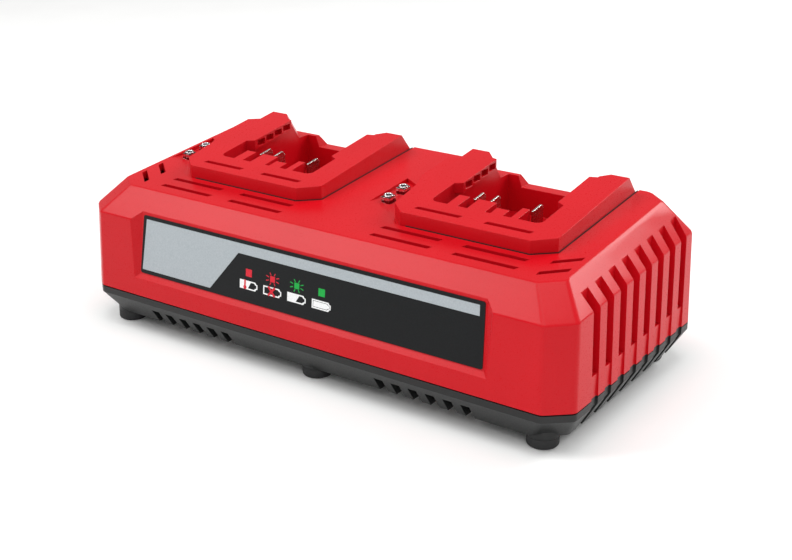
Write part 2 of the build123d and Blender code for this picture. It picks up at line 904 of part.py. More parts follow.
def self_tapper(bottom, bite):
    """Pan-head screw pointing up, its head seat at Z = 0 less the bottom offset."""
    head = Pos(0, 0, bottom - screw_head_height) * Cylinder(
        screw_head_radius, screw_head_height, align=(Align.CENTER, Align.CENTER, Align.MIN)
    )
    shank = Pos(0, 0, bottom - screw_head_height / 2) * Cylinder(
        screw_radius, bite + screw_head_height / 2, align=(Align.CENTER, Align.CENTER, Align.MIN)
    )
    cross = Pos(0, 0, bottom - screw_head_height) * (
        Box(0.7, 2.6, 2 * screw_head_height / 2) + Box(2.6, 0.7, 2 * screw_head_height / 2)
    )
    return head + shank - cross


head_seat = base_clearance + counterbore
screw = self_tapper(0, parting_height - head_seat + housing_screw_bite)
parts["housing_screws"] = Compound([Pos(x, y, head_seat) * screw for x, y in housing_screw_points()])


# ------------------------------------------------------------ docks
def under_platform(drop):
    """Everything below the platform surface lowered by drop."""
    plane = tilted(platform_z(0) - drop, dock_slope)
    return plane * Box(
        body_length, 2 * body_depth, 2 * body_depth, align=(Align.CENTER, Align.CENTER, Align.MAX)
    )


def rear_bevel_y(z):
    """Rear bevel of the red housing at height z."""
    low_z = shoulder_base + shoulder_rise * shoulder_half_y
    high_z = top_base + top_rise * top_half_y
    share = (z - low_z) / (high_z - low_z)
    return shoulder_half_y - share * front_bevel_run


def mid_z(y):
    """Half-way between the top deck and the platform."""
    return (top_z(y) + platform_z(y)) / 2


def lead_in_cutter(side):
    """Sloped facet that widens the rail mouth at the rear."""
    a = Vector(side * well_half, lip_rear_y + lip_lead, platform_z(lip_rear_y + lip_lead))
    b = Vector(side * lead_in_x, dock_crest_y, crest_z)
    c = Vector(side * mouth_half, dock_heel_y, apron_z)
    normal = (b - a).cross(c - a)
    if normal.X * side > 0:
        normal = normal * -1
    plane = Plane(origin=b, x_dir=c - a, z_dir=normal)
    reach = dock_heel_y - lip_rear_y
    wedge = plane * Box(2 * reach, 2 * reach, reach, align=(Align.CENTER, Align.CENTER, Align.MIN))
    return wedge & block(-rail_half, rail_half, lip_rear_y, body_depth, apron_z, 3 * crest_z)


def make_dock():
    """Red slide-in dock with rails, well, terminal comb and rear channel."""
    seat = dock_seat_depth * TOP_STRETCH
    rear_top = rear_bevel_y(apron_z)
    rear_low = rear_bevel_y(seat_z)
    profile = [
        (dock_front_y, top_z(dock_front_y) - seat),
        (dock_front_y, dock_front_z),
        (dock_crest_y, crest_z),
        (dock_heel_y, apron_z),
        (rear_top, apron_z),
        (rear_low, seat_z),
        (notch_front_y, seat_z),
        (notch_front_y, top_z(notch_front_y) - seat),
    ]
    platform = side_profile(profile, 2 * rail_half) & platform_prism(0, 0, 2 * crest_z)
    tub_half = well_half + tub_wall
    front = well_front_y - tub_wall
    rear = well_rear_y + tub_wall
    tub = side_profile(
        [
            (front, tub_bottom), (rear, tub_bottom), (rear, channel_z - 1),
            (dock_crest_y, mid_z(dock_crest_y)), (front, mid_z(front)),
        ],
        tub_half,
    )
    well = block(-well_half, well_half, well_front_y, well_rear_y, well_floor, 2 * crest_z)
    well = fillet(well.edges().filter_by(Axis.Z).group_by(Axis.Y)[0], well_round)
    channel = extrude(
        Plane.XZ * Polygon(
            (-channel_half, channel_z), (channel_half, channel_z),
            (channel_half + channel_flare, apron_z), (channel_half + channel_flare, 2 * crest_z),
            (-channel_half - channel_flare, 2 * crest_z), (-channel_half - channel_flare, apron_z),
            align=None,
        ),
        body_depth, both=True,
    ) & block(-rail_half, rail_half, well_rear_y - 1, body_depth, 0, 3 * crest_z)
    dock = platform + tub - [well, channel, lead_in_cutter(-1), lead_in_cutter(1)]
    additions = []
    for side in (-1, 1):
        root = side * (well_half + 0.5)
        lip = prism(
            [
                (root, lip_front_y), (side * well_half, lip_front_y),
                (side * lip_half, lip_front_y + lip_lead), (side * lip_half, lip_rear_y),
                (side * well_half, lip_rear_y + lip_lead / 2), (root, lip_rear_y + lip_lead / 2),
            ],
            well_floor, 2 * crest_z,
        )
        additions.append((lip & under_platform(0)) - under_platform(lip_thickness))
    comb_low = block_top + block_gap
    fingers = []
    for left, right, rear_end in comb:
        fingers.append(block(left, right, well_front_y - 0.5, rear_end, comb_low, 2 * crest_z))
    limit = prism(
        [(-well_half, -body_depth), (well_half, -body_depth), (well_half, body_depth),
         (-well_half, body_depth)],
        platform_z(well_front_y) - comb_drop, 3 * crest_z,
    )
    additions.append(joined(fingers) & under_platform(0) & limit)
    dock = dock + additions
    cuts = []
    for side in (-1, 1):
        for index in range(pocket_count):
            y = pocket_first_y + pocket_pitch * index
            edges = sorted((side * (lip_half - 1), side * (lip_half + pocket_depth)))
            drop = (lip_thickness - pocket_height) / 2
            z = platform_z(y) - drop
            cuts.append(block(
                *edges, y - pocket_length / 2, y + pocket_length / 2, z - pocket_height, z,
            ))
    low = top_z(dock_front_y) - 2 * roof
    for x0, x1 in ((bar_left_start, bar_left_end), (bar_right_start, bar_right_end)):
        cuts.append(slanted_slot(x0, x1, bar_slot_y, bar_slot_width, low, crest_z))
    tail = blade_thickness + 2 * blade_slot_clearance
    width = blade_tail_width + 2 * blade_slot_clearance
    for x in blade_positions.values():
        cuts.append(block(
            x - tail / 2, x + tail / 2, blade_middle_y - width / 2, blade_middle_y + width / 2,
            tub_bottom - 1, well_floor + 1,
        ))
    for x, y in dock_screw_points():
        depth = dock_screw_bite + 0.5
        pilot = screw_radius + screw_pilot_clearance
        cuts.append(on_top(x, y, -dock_seat_depth) * Cylinder(pilot, 2 * depth))
    dock = dock - cuts
    posts = []
    for x, y in dock_board_points():
        posts.append(pin(x, y, dock_board_z, tub_bottom + tub_wall / 2, standoff_radius * 0.7))
    return dock + posts


def dock_board_points():
    """Standoffs of a dock board about a rail centre."""
    x = dock_board_length / 2 - 3
    y = dock_board_depth / 2 - 3
    return [(sx * x, dock_board_y + sy * y) for sx in (-1, 1) for sy in (-1, 1)]


blade_middle_y = (blade_front_y + blade_rear_y) / 2


def make_blade(x):
    """Terminal blade with a bevelled rear edge and a soldered tail."""
    top_rear = block_top + blade_rise
    top_front = top_rear - blade_slope * (blade_rear_y - blade_front_y)
    foot = block_top - blade_foot
    half = blade_tail_width / 2
    tail_z = dock_board_z - board_thickness - tail_stub
    outline = [
        (blade_front_y, foot),
        (blade_middle_y - half, foot),
        (blade_middle_y - half, tail_z),
        (blade_middle_y + half, tail_z),
        (blade_middle_y + half, foot),
        (blade_rear_y, foot),
        (blade_rear_y, top_rear - blade_lead),
        (blade_rear_y - blade_lead, top_rear),
        (blade_front_y, top_front),
    ]
    return Pos(x, 0, 0) * side_profile(outline, blade_thickness / 2)


def make_terminal_block():
    """Black block on the well floor that holds the blades."""
    front = well_front_y + block_gap
    solid = block(-block_half, block_half, front, block_rear_y, well_floor, block_top)
    rear_top = solid.edges().filter_by(Axis.X).group_by(Axis.Z)[-1].sort_by(Axis.Y)[-1]
    solid = chamfer(rear_top, collar_height)
    clear = blade_slot_clearance
    collars = []
    cuts = []
    for x in blade_positions.values():
        half = blade_thickness / 2 + clear
        collars.append(block(
            x - half - collar_wall, x + half + collar_wall,
            blade_front_y - clear - collar_wall, blade_rear_y + clear + collar_wall,
            well_floor + 1, block_top + collar_height,
        ))
        cuts.append(block(
            x - half, x + half, blade_front_y - clear, blade_rear_y + clear,
            block_top - blade_foot, block_top + 2 * collar_height,
        ))
        width = blade_tail_width / 2 + clear
        cuts.append(block(
            x - half, x + half, blade_middle_y - width, blade_middle_y + width,
            well_floor - 1, block_top,
        ))
    comb_rear = max(finger[2] for finger in comb)
    floor = block(-well_half, well_half, well_front_y, comb_rear + block_gap,
                  block_top, block_top + 2 * collar_height)
    return solid + collars - cuts - floor


def make_dock_board():
    """Small circuit board below the tub, soldered to the blade tails."""
    half_x = dock_board_length / 2
    half_y = dock_board_depth / 2
    solid = block(
        -half_x, half_x, dock_board_y - half_y, dock_board_y + half_y,
        dock_board_z - board_thickness, dock_board_z,
    )
    cuts = []
    for x in blade_positions.values():
        tail = blade_thickness / 2 + blade_slot_clearance
        width = blade_tail_width / 2 + blade_slot_clearance
        cuts.append(block(
            x - tail, x + tail, blade_middle_y - width, blade_middle_y + width, 0, dock_board_z + 1,
        ))
    return solid - cuts


dock_solid = make_dock()
block_solid = make_terminal_block()
dock_board_solid = make_dock_board()
dock_screw_solids = []
dock_head = -roof
short_screw = self_tapper(0, roof - dock_seat_depth + dock_screw_bite)
for side, name in ((-1, "left"), (1, "right")):
    centre = dock_reference[side] + dock_shift
    place = Pos(centre, 0, 0)
    parts[name + "_dock"] = place * dock_solid
    parts[name + "_terminal_block"] = place * block_solid
    for blade, x in blade_positions.items():
        parts[name + "_blade_" + blade] = place * make_blade(x)
    parts[name + "_dock_board"] = place * dock_board_solid
    plug = block(
        -plug_half_x, plug_half_x, lead_y - plug_half_y, lead_y + plug_half_y,
        board_top, board_top + plug_height,
    )
    parts[name + "_dock_plug"] = place * plug
    wires = [
        place * pin(lead_pitch * (index - 1.5), lead_y, board_top + plug_height,
                    dock_board_z - board_thickness, lead_radius)
        for index in range(4)
    ]
    parts[name + "_dock_leads"] = Compound(wires)
    for x, y in dock_screw_points():
        dock_screw_solids.append(on_top(centre + x, y, dock_head) * short_screw)
parts["dock_screws"] = Compound(dock_screw_solids)


# ------------------------------------------------------------ status lamps
for side, name in ((-1, "left"), (1, "right")):
    x = dock_reference[side] + lamp_x
    middle = (lamp_front_y + lamp_rear_y) / 2
    led_top = -roof - lens_flange_thickness - led_gap
    low = Align.CENTER, Align.CENTER, Align.MIN
    for row, y in (("front", lamp_front_y), ("rear", lamp_rear_y)):
        height = roof + lens_stand
        post = on_top(x, y, -roof) * Box(lens_size, lens_size, height, align=low)
        post = fillet(post.edges().sort_by(Axis.Z)[-4:], 0.3)
        wide = lens_size + 2 * lens_flange
        flange = on_top(x, y, -roof - lens_flange_thickness) * Box(
            wide, wide, lens_flange_thickness, align=low
        )
        parts[name + "_lens_" + row] = post + flange
        parts[name + "_led_" + row] = on_top(x, y, led_top - led_height) * Box(
            led_size, led_size, led_height, align=low
        )
    board = on_top(x, middle, led_top - led_height - board_thickness) * Box(
        lamp_board_width, 2 * lamp_board_reach, board_thickness, align=low
    )
    for reach in (-lamp_post_reach, lamp_post_reach):
        board = board - on_top(x, middle + reach, led_top) * Cylinder(
            lamp_pin_radius + stem_clearance, 8 * board_thickness
        )
    parts[name + "_lamp_board"] = board


# ------------------------------------------------------------ cord gland
def make_cord_gland():
    """Rubber bushing snapped into the rear wall, bored for the mains cord."""
    outer = rear_wall_y(gland_z + gland_flange) - 0.1
    flange_foot = rear_wall_y(gland_z) - gland_flange_thickness - 0.2
    inner = inner_half_y - gland_clearance
    spool = joined([
        bar_y(gland_x, flange_foot, outer, gland_z, gland_flange),
        bar_y(gland_x, inner - 1, flange_foot + 0.5, gland_z, gland_neck),
        bar_y(gland_x, inner - gland_lip, inner, gland_z, gland_flange),
    ])
    return spool - bar_y(gland_x, 0, body_depth, gland_z, cord_radius)


parts["cord_gland"] = make_cord_gland()


# ------------------------------------------------------------ main board
board = block(board_left, board_right, -board_half_depth, board_half_depth, board_z, board_top)
for x, y in board_screw_points():
    board = board - pin(x, y, 0, board_top + 1, screw_radius + screw_through_clearance)
parts["main_board"] = board
down_screw = Rot(180, 0, 0) * self_tapper(0, board_thickness + board_screw_bite)
parts["board_screws"] = Compound([Pos(x, y, board_top) * down_screw for x, y in board_screw_points()])


def finned_plate(x0, length, y, fins, reach):
    """Upright heatsink plate with fins towards the front."""
    x1 = x0 + length
    top = board_top + sink_height
    shapes = [block(x0, x1, y - sink_plate, y, board_top, top)]
    for index in range(fins):
        x = x0 + sink_fin / 2 + (length - sink_fin) * index / (fins - 1)
        shapes.append(block(
            x - sink_fin / 2, x + sink_fin / 2, y - sink_plate - reach, y - sink_plate / 2,
            board_top, top,
        ))
    return joined(shapes)


def power_package(x, y):
    """Flat power package against a heatsink face at y."""
    body = block(
        x - package_half, x + package_half, y, y + package_depth,
        board_top + package_foot, board_top + package_top,
    )
    leg_y = y + package_depth / 2
    legs = [
        block(
            x + package_pitch * index - 0.4, x + package_pitch * index + 0.4, leg_y - 0.4, leg_y + 0.2,
            board_top, board_top + package_foot + 1,
        )
        for index in (-1, 0, 1)
    ]
    return body + legs


def can(x, y, radius, height):
    """Upright capacitor can with a crimp groove near its foot."""
    outer = pin(x, y, board_top + 2, board_top + 3, radius + 1)
    groove = outer - pin(x, y, board_top + 1, board_top + 4, radius - 0.5)
    solid = pin(x, y, board_top, board_top + height, radius)
    solid = fillet(solid.edges().group_by(Axis.Z)[-1], min(0.8, radius / 4))
    return solid - groove


def make_transformer():
    """Ferrite core with two windows and the bobbin wound round its middle leg."""
    low = board_top + core_leg
    high = board_top + core_height - core_leg
    core = block(
        core_x - core_half_x, core_x + core_half_x, core_y - core_half_y / 2,
        core_y + core_half_y / 2, board_top, board_top + core_height,
    )
    for side in (-1, 1):
        edges = sorted((core_x + side * core_leg, core_x + side * (core_leg + core_window)))
        core = core - block(*edges, core_y - core_half_y, core_y + core_half_y, low, high)
    reach = core_leg + core_window - winding_gap
    bobbin = block(
        core_x - reach, core_x + reach, core_y - core_half_y, core_y + core_half_y,
        low + winding_gap, high - winding_gap,
    )
    leg = core_leg + winding_gap
    half = core_half_y / 2 + winding_gap
    bobbin = bobbin - block(
        core_x - leg, core_x + leg, core_y - half, core_y + half, board_top,
        board_top + core_height,
    )
    pins = [
        pin(core_x + 4 * index, core_y + side * (core_half_y - 2), board_top, low + 1, 0.5)
        for index in (-2, -1, 0, 1, 2) for side in (-1, 1)
    ]
    return core, bobbin + pins


def make_choke():
    """Ring choke lying on the board."""
    x = board_right - choke_inset
    ring_solid = pin(x, choke_y, board_top, board_top + choke_height, choke_radius)
    ring_solid = ring_solid - pin(x, choke_y, 0, board_top + choke_height + 1, choke_bore)
    return fillet(ring_solid.edges().group_by(Axis.Z)[-1], choke_round)


def make_fuse():
    """Glass fuse in its two clips."""
    z = board_top + fuse_radius + 0.4
    tube = bar_x(fuse_x - fuse_half_length, fuse_x + fuse_half_length, fuse_y, z, fuse_radius)
    clips = []
    for side in (-1, 1):
        x = fuse_x + side * (fuse_half_length - fuse_clip)
        clips.append(block(
            x - fuse_clip, x + fuse_clip, fuse_y - 2.4, fuse_y + 2.4, board_top, z,
        ))
    return tube + clips


parts["transformer_core"], parts["transformer_winding"] = make_transformer()
primary_sink_x = board_right - primary_sink_inset - primary_sink_length
parts["primary_heatsink"] = finned_plate(
    primary_sink_x, primary_sink_length, primary_sink_y, primary_sink_fins, primary_sink_reach
)
parts["primary_transistor"] = power_package(
    primary_sink_x + 0.56 * primary_sink_length, primary_sink_y
)
output_sink_x = board_left + output_sink_inset
parts["output_heatsink"] = finned_plate(
    output_sink_x, output_sink_length, output_sink_y, output_sink_fins, output_sink_reach
)
parts["output_rectifier"] = power_package(
    output_sink_x + output_sink_length / 2, output_sink_y
)
parts["input_capacitor"] = can(input_can_x, input_can_y, input_can_radius, input_can_height)
output_can_x = dock_reference[-1] + dock_shift + output_can_shift
for row, y in (("front", output_can_front_y), ("rear", output_can_rear_y)):
    parts["output_capacitor_" + row] = can(output_can_x, y, output_can_radius, output_can_height)
parts["line_choke"] = make_choke()
parts["line_fuse"] = make_fuse()
parts["inlet_plug"] = block(
    inlet_x - inlet_half_x, inlet_x + inlet_half_x, inlet_y - inlet_half_y,
    inlet_y + inlet_half_y, board_top, board_top + inlet_height,
)


# ------------------------------------------------------------ cooling fan
fan_z = base_inner_floor + fan_size / 2


def make_fan_frame():
    """Square fan frame with a spider and a fixed hub pin."""
    x0 = fan_x
    x1 = fan_x + fan_thickness
    half = fan_size / 2
    frame = block(x0, x1, -half, half, fan_z - half, fan_z + half)
    frame = fillet(frame.edges().filter_by(Axis.X), 2.0)
    frame = frame - bar_x(x0 - 1, x1 + 1, 0, fan_z, fan_bore)
    spider = [bar_x(x0, x0 + fan_spider, 0, fan_z, fan_hub)]
    for angle in (45, 135):
        arm = Box(fan_spider, 2 * fan_bore + 1, 2.5)
        spider.append(Pos(x0 + fan_spider / 2, 0, fan_z) * Rot(angle, 0, 0) * arm)
    frame = frame + spider
    end = x1 - fan_cap
    frame = frame + bar_x(x0 + fan_spider / 2, end, 0, fan_z, fan_pin_radius)
    frame = frame + bar_x(end - 0.01, x1, 0, fan_z, fan_pin_radius + 0.8)
    corner = half - 4
    holes = [bar_x(x0 - 1, x1 + 1, sy * corner, fan_z + sz * corner, 1.7)
             for sy in (-1, 1) for sz in (-1, 1)]
    return frame - holes


def make_fan_rotor():
    """Hub with pitched blades that turns on the frame pin."""
    x0 = fan_x + fan_spider + fan_axial_gap
    x1 = fan_x + fan_thickness - fan_cap - fan_axial_gap
    tip = fan_bore - fan_blade_tip_gap
    hub = bar_x(x0, x1, 0, fan_z, fan_hub)
    chord = (x1 - x0 - 0.6) / math.cos(math.radians(fan_blade_pitch))
    chord = chord - fan_blade_thickness * math.tan(math.radians(fan_blade_pitch))
    span = tip - fan_hub + 2
    blade = Pos(0, 0, fan_hub - 2 + span / 2) * Rot(0, 0, fan_blade_pitch) * Box(
        chord, fan_blade_thickness, span)
    middle = (x0 + x1) / 2
    blades = [Pos(middle, 0, fan_z) * Rot(360 / fan_blades * i, 0, 0) * blade
              for i in range(fan_blades)]
    rotor = hub + blades
    rotor = rotor & bar_x(x0, x1, 0, fan_z, tip)
    return rotor - bar_x(x0 - 1, x1 + 1, 0, fan_z, fan_pin_radius + fan_pin_clearance)


parts["fan_frame"] = make_fan_frame()
parts["fan_rotor"] = make_fan_rotor()


# ------------------------------------------------------------ export
os.makedirs("parts", exist_ok=True)
for name, shape in parts.items():
    export_step(shape, os.path.join("parts", name + ".step"))
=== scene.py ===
import logging
import math
from dataclasses import dataclass, field
from enum import Enum

import bpy
import numpy as np
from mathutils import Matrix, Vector


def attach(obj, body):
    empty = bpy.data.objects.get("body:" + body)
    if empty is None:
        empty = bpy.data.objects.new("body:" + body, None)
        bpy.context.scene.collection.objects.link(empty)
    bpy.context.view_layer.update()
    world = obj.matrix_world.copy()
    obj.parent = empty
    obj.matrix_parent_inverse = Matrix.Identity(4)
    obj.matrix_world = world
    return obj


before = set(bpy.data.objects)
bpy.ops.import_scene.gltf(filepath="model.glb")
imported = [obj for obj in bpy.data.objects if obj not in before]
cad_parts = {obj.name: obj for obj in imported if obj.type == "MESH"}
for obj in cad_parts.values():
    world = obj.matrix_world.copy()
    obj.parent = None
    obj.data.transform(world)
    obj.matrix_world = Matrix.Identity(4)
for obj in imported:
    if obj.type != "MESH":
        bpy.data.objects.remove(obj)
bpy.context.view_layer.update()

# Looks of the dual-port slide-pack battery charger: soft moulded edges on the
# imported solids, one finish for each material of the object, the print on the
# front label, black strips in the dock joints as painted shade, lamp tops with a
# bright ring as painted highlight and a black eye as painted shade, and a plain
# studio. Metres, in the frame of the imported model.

MM = 0.001
LOG = logging.getLogger("charger")
NOISE_SPAN = {1: 0.3, 2: 0.7}  # first ends of a Map Range node: most of a noise lies inside
Feed = float | tuple | list | str | bpy.types.Node | bpy.types.NodeSocket  # for a socket
Pair = tuple[float, float]  # two numbers, such as x and y


def linear(code: str) -> tuple[float, float, float, float]:
    """Turn an sRGB hex colour into linear light.

    Each channel c in 0..1 becomes c / 12.92 below 0.04045, else ((c + 0.055) / 1.055) ** 2.4.

    Args:
        code: Colour such as "#C8202A".

    Returns:
        Linear red, green, blue and an alpha of one.
    """
    channels = np.array([int(code[i:i + 2], 16) for i in (1, 3, 5)]) / 255
    light = np.where(channels <= 0.04045, channels / 12.92, ((channels + 0.055) / 1.055) ** 2.4)
    return (*light.tolist(), 1.0)


def per_metre(pitch_mm: float) -> float:
    """Texture scale that repeats about once in pitch_mm on coordinates in metres."""
    return 1000.0 / pitch_mm


def link_mesh(name: str, points: np.ndarray, faces: list[list[int]],
              material: bpy.types.Material) -> bpy.types.Object:
    """Make an object from points and faces and put it in the scene.

    Args:
        name: Name of the object and of its mesh.
        points: Rows of x, y and z in metres.
        faces: Point numbers of each face, anticlockwise seen from outside.
        material: Finish of the whole object.

    Returns:
        The object.
    """
    mesh = bpy.data.meshes.new(name)
    mesh.from_pydata(points.tolist(), [], faces)
    mesh.materials.append(material)
    piece = bpy.data.objects.new(name, mesh)
    bpy.context.scene.collection.objects.link(piece)
    return piece


class Axis(Enum):
    """Direction of a drawn or brushed lay."""

    X = 0
    Y = 1
    Z = 2


@dataclass(frozen=True)
class Deck:
    """Top deck of the housing, which rises in a straight line towards the rear."""

    middle_z: float = 68.013   # height over Y = 0
    rise: float = 0.091        # for each millimetre along Y

    def height(self, y: np.ndarray) -> np.ndarray:
        """Height of the deck in mm at y in mm: middle_z + rise * y."""
        return self.middle_z + self.rise * y


DECK = Deck()


class Graph:
    """Node graph of one material, read in object coordinates."""

    def __init__(self, name: str) -> None:
        """Start an empty material with its coordinates.

        Args:
            name: Name of the material.
        """
        self.material = bpy.data.materials.new(name)
        self.material.use_nodes = True
        self.tree = self.material.node_tree
        self.tree.nodes.clear()
        source = self.add("ShaderNodeTexCoord")
        self.place = source.outputs["Object"]
        self.facing = source.outputs["Normal"]

    def add(self, kind: str, inputs: dict[int | str, Feed] | None = None,
            **settings: str) -> bpy.types.Node:
        """Add a node with its settings and links.

        Args:
            kind: Blender's name of the node type.
            inputs: Socket name or number to a number, a hex colour, an output that feeds it, or
                a node whose first output does.
            **settings: Properties of the node.

        Returns:
            The new node.
        """
        node = self.tree.nodes.new(kind)
        for name, value in settings.items():
            setattr(node, name, value)
        for key, value in (inputs or {}).items():
            if isinstance(value, bpy.types.Node):
                value = value.outputs[0]
            if isinstance(value, bpy.types.NodeSocket):
                self.tree.links.new(value, node.inputs[key])
            else:
                node.inputs[key].default_value = linear(value) if isinstance(value, str) else value
        return node

    def close(self, share: Feed, colours: tuple[Feed, Feed], gloss: Feed, roughness: Pair,
              inputs: dict[str, Feed]) -> bpy.types.Material:
        """End the graph in one shader.

        Args:
            share: Part of the second colour, from zero to one.
            colours: The two colours.
            gloss: Noise that carries the roughness from one end to the other.
            roughness: Its two ends.
            inputs: Further sockets of the shader.

        Returns:
            The finished material.
        """
        tone = {"Factor": share, 6: colours[0], 7: colours[1]}
        ends = {0: gloss, **NOISE_SPAN, 3: roughness[0], 4: roughness[1]}
        shader = self.add("ShaderNodeBsdfPrincipled", {
            "Base Color": self.add("ShaderNodeMix", tone, data_type="RGBA").outputs[2],
            "Roughness": self.add("ShaderNodeMapRange", ends), **inputs})
        self.add("ShaderNodeOutputMaterial", {"Surface": shader})
        return self.material


@dataclass(frozen=True)
class MouldedPlastic:
    """Injection-moulded resin off a spark-eroded tool.

    The tool leaves a fine pitted grain that breaks up the highlight, the melt leaves broad faint
    bands, and walls sink a little between ribs.
    """

    name: str
    colour: str
    flow: str                  # the resin where it ran lighter
    roughness: float
    ior: float = 1.53
    grain_mm: float = 0.45     # real grain is 0.1 to 0.2 mm: drawn coarser to show
    grain_depth_mm: float = 0.012
    flow_mm: float = 38.0
    sink_mm: float = 26.0
    sink_depth_mm: float = 0.05
    shine_spread: float = 0.05
    shine: float = 0.5         # share of the full reflection that the grain leaves
    flow_stretch: float = 0.5  # along Z, below one to draw the bands out
    speck_ratio: float = 3.0   # size of a speck of tone over the grain's
    band_share: float = 0.75   # of the change of tone, the rest is specks

    def build(self) -> bpy.types.Material:
        """Make the finish.

        Returns:
            Its material.
        """
        graph = Graph(self.name)
        drawn = graph.add("ShaderNodeMapping", {
            "Vector": graph.place, "Scale": (1.0, 1.0, self.flow_stretch)})
        melt = graph.add("ShaderNodeTexNoise", {
            "Vector": drawn, "Scale": per_metre(self.flow_mm), "Detail": 3.0})
        speck = graph.add("ShaderNodeTexNoise", {
            "Vector": graph.place, "Scale": per_metre(self.grain_mm * self.speck_ratio),
            "Detail": 1.0})
        grain = graph.add("ShaderNodeTexNoise", {
            "Vector": graph.place, "Scale": per_metre(self.grain_mm)})
        sink = graph.add("ShaderNodeTexNoise", {
            "Vector": graph.place, "Scale": per_metre(self.sink_mm), "Detail": 1.0})
        bands = graph.add("ShaderNodeMapRange", {
            0: melt, **NOISE_SPAN, 3: 0.0, 4: self.band_share})
        specks = graph.add("ShaderNodeMapRange", {
            0: speck, **NOISE_SPAN, 3: 0.0, 4: 1.0 - self.band_share})
        tone = graph.add("ShaderNodeMath", {0: bands, 1: specks}, operation="ADD")
        sunk = graph.add("ShaderNodeBump", {"Height": sink, "Distance": self.sink_depth_mm * MM})
        ends = (self.roughness - self.shine_spread, self.roughness + self.shine_spread)
        return graph.close(tone, (self.colour, self.flow), grain, ends, {
            "Normal": graph.add("ShaderNodeBump", {
                "Height": grain, "Distance": self.grain_depth_mm * MM, "Normal": sunk}),
            "IOR": self.ior,
            "Specular IOR Level": self.shine,
        })


@dataclass(frozen=True)
class Rubber:
    """Moulded elastomer: matte, with a dusty bloom in patches and fine pores."""

    name: str
    colour: str
    bloom: str
    roughness: float = 0.72
    pore_mm: float = 0.5       # real pores are about 0.1 mm: drawn coarser to show
    pore_depth_mm: float = 0.03
    bloom_mm: float = 4.0
    spread: Pair = (-0.06, 0.1)  # of the roughness about its middle
    ior: float = 1.52

    def build(self) -> bpy.types.Material:
        """Make the finish.

        Returns:
            Its material.
        """
        graph = Graph(self.name)
        patches = graph.add("ShaderNodeTexNoise", {
            "Vector": graph.place, "Scale": per_metre(self.bloom_mm), "Detail": 4.0})
        pores = graph.add("ShaderNodeTexNoise", {
            "Vector": graph.place, "Scale": per_metre(self.pore_mm)})
        share = graph.add("ShaderNodeMapRange", {0: patches, **NOISE_SPAN, 3: 0.0, 4: 1.0})
        ends = (self.roughness + self.spread[0], self.roughness + self.spread[1])
        return graph.close(share, (self.colour, self.bloom), patches, ends, {
            "Normal": graph.add("ShaderNodeBump", {
                "Height": pores, "Distance": self.pore_depth_mm * MM}),
            "IOR": self.ior,
        })


@dataclass(frozen=True)
class DrawnMetal:
    """Rolled, drawn or brushed metal: fine lines along one direction and faint dull patches."""

    name: str
    colour: str
    dull: str
    roughness: float
    lay: Axis
    line_mm: float = 0.22      # real lines are under 0.1 mm: drawn coarser to show
    line_depth_mm: float = 0.004
    line_stretch: float = 0.04  # along the lay, below one to draw the lines out
    patch_mm: float = 5.0
    spread: Pair = (-0.06, 0.1)  # of the roughness about its middle

    def build(self) -> bpy.types.Material:
        """Make the finish.

        Returns:
            Its material.
        """
        graph = Graph(self.name)
        stretch = [1.0, 1.0, 1.0]
        stretch[self.lay.value] = self.line_stretch
        drawn = graph.add("ShaderNodeMapping", {"Vector": graph.place, "Scale": stretch})
        lines = graph.add("ShaderNodeTexNoise", {
            "Vector": drawn, "Scale": per_metre(self.line_mm)})
        patches = graph.add("ShaderNodeTexNoise", {
            "Vector": graph.place, "Scale": per_metre(self.patch_mm), "Detail": 3.0})
        share = graph.add("ShaderNodeMapRange", {0: patches, **NOISE_SPAN, 3: 0.0, 4: 1.0})
        ends = (self.roughness + self.spread[0], self.roughness + self.spread[1])
        return graph.close(share, (self.colour, self.dull), lines, ends, {
            "Normal": graph.add("ShaderNodeBump", {
                "Height": lines, "Distance": self.line_depth_mm * MM}),
            "Metallic": 1.0,
        })


@dataclass(frozen=True)
class PrintedFilm:
    """Ink on the back of, or over, a polycarbonate film with a velvet face.

    The film's fine velvet spreads the highlight; the ink under it is even, with a trace of mesh.
    """

    name: str
    colour: str
    thin: str                  # the ink where the mesh left less of it
    roughness: float = 0.34
    shine: float = 0.5         # share of the full reflection that the velvet leaves
    velvet_mm: float = 0.35    # real velvet is about 0.05 mm: drawn coarser to show
    velvet_depth_mm: float = 0.003
    mesh_mm: float = 0.6       # real mesh is about 0.1 mm: drawn coarser to show
    spread: Pair = (-0.04, 0.06)  # of the roughness about its middle
    ior: float = 1.58

    def build(self) -> bpy.types.Material:
        """Make the finish.

        Returns:
            Its material.
        """
        graph = Graph(self.name)
        velvet = graph.add("ShaderNodeTexNoise", {
            "Vector": graph.place, "Scale": per_metre(self.velvet_mm), "Detail": 1.0})
        mesh = graph.add("ShaderNodeTexNoise", {
            "Vector": graph.place, "Scale": per_metre(self.mesh_mm)})
        share = graph.add("ShaderNodeMapRange", {0: mesh, **NOISE_SPAN, 3: 0.0, 4: 1.0})
        ends = (self.roughness + self.spread[0], self.roughness + self.spread[1])
        return graph.close(share, (self.colour, self.thin), velvet, ends, {
            "Normal": graph.add("ShaderNodeBump", {
                "Height": velvet, "Distance": self.velvet_depth_mm * MM}),
            "IOR": self.ior,
            "Specular IOR Level": self.shine,
        })


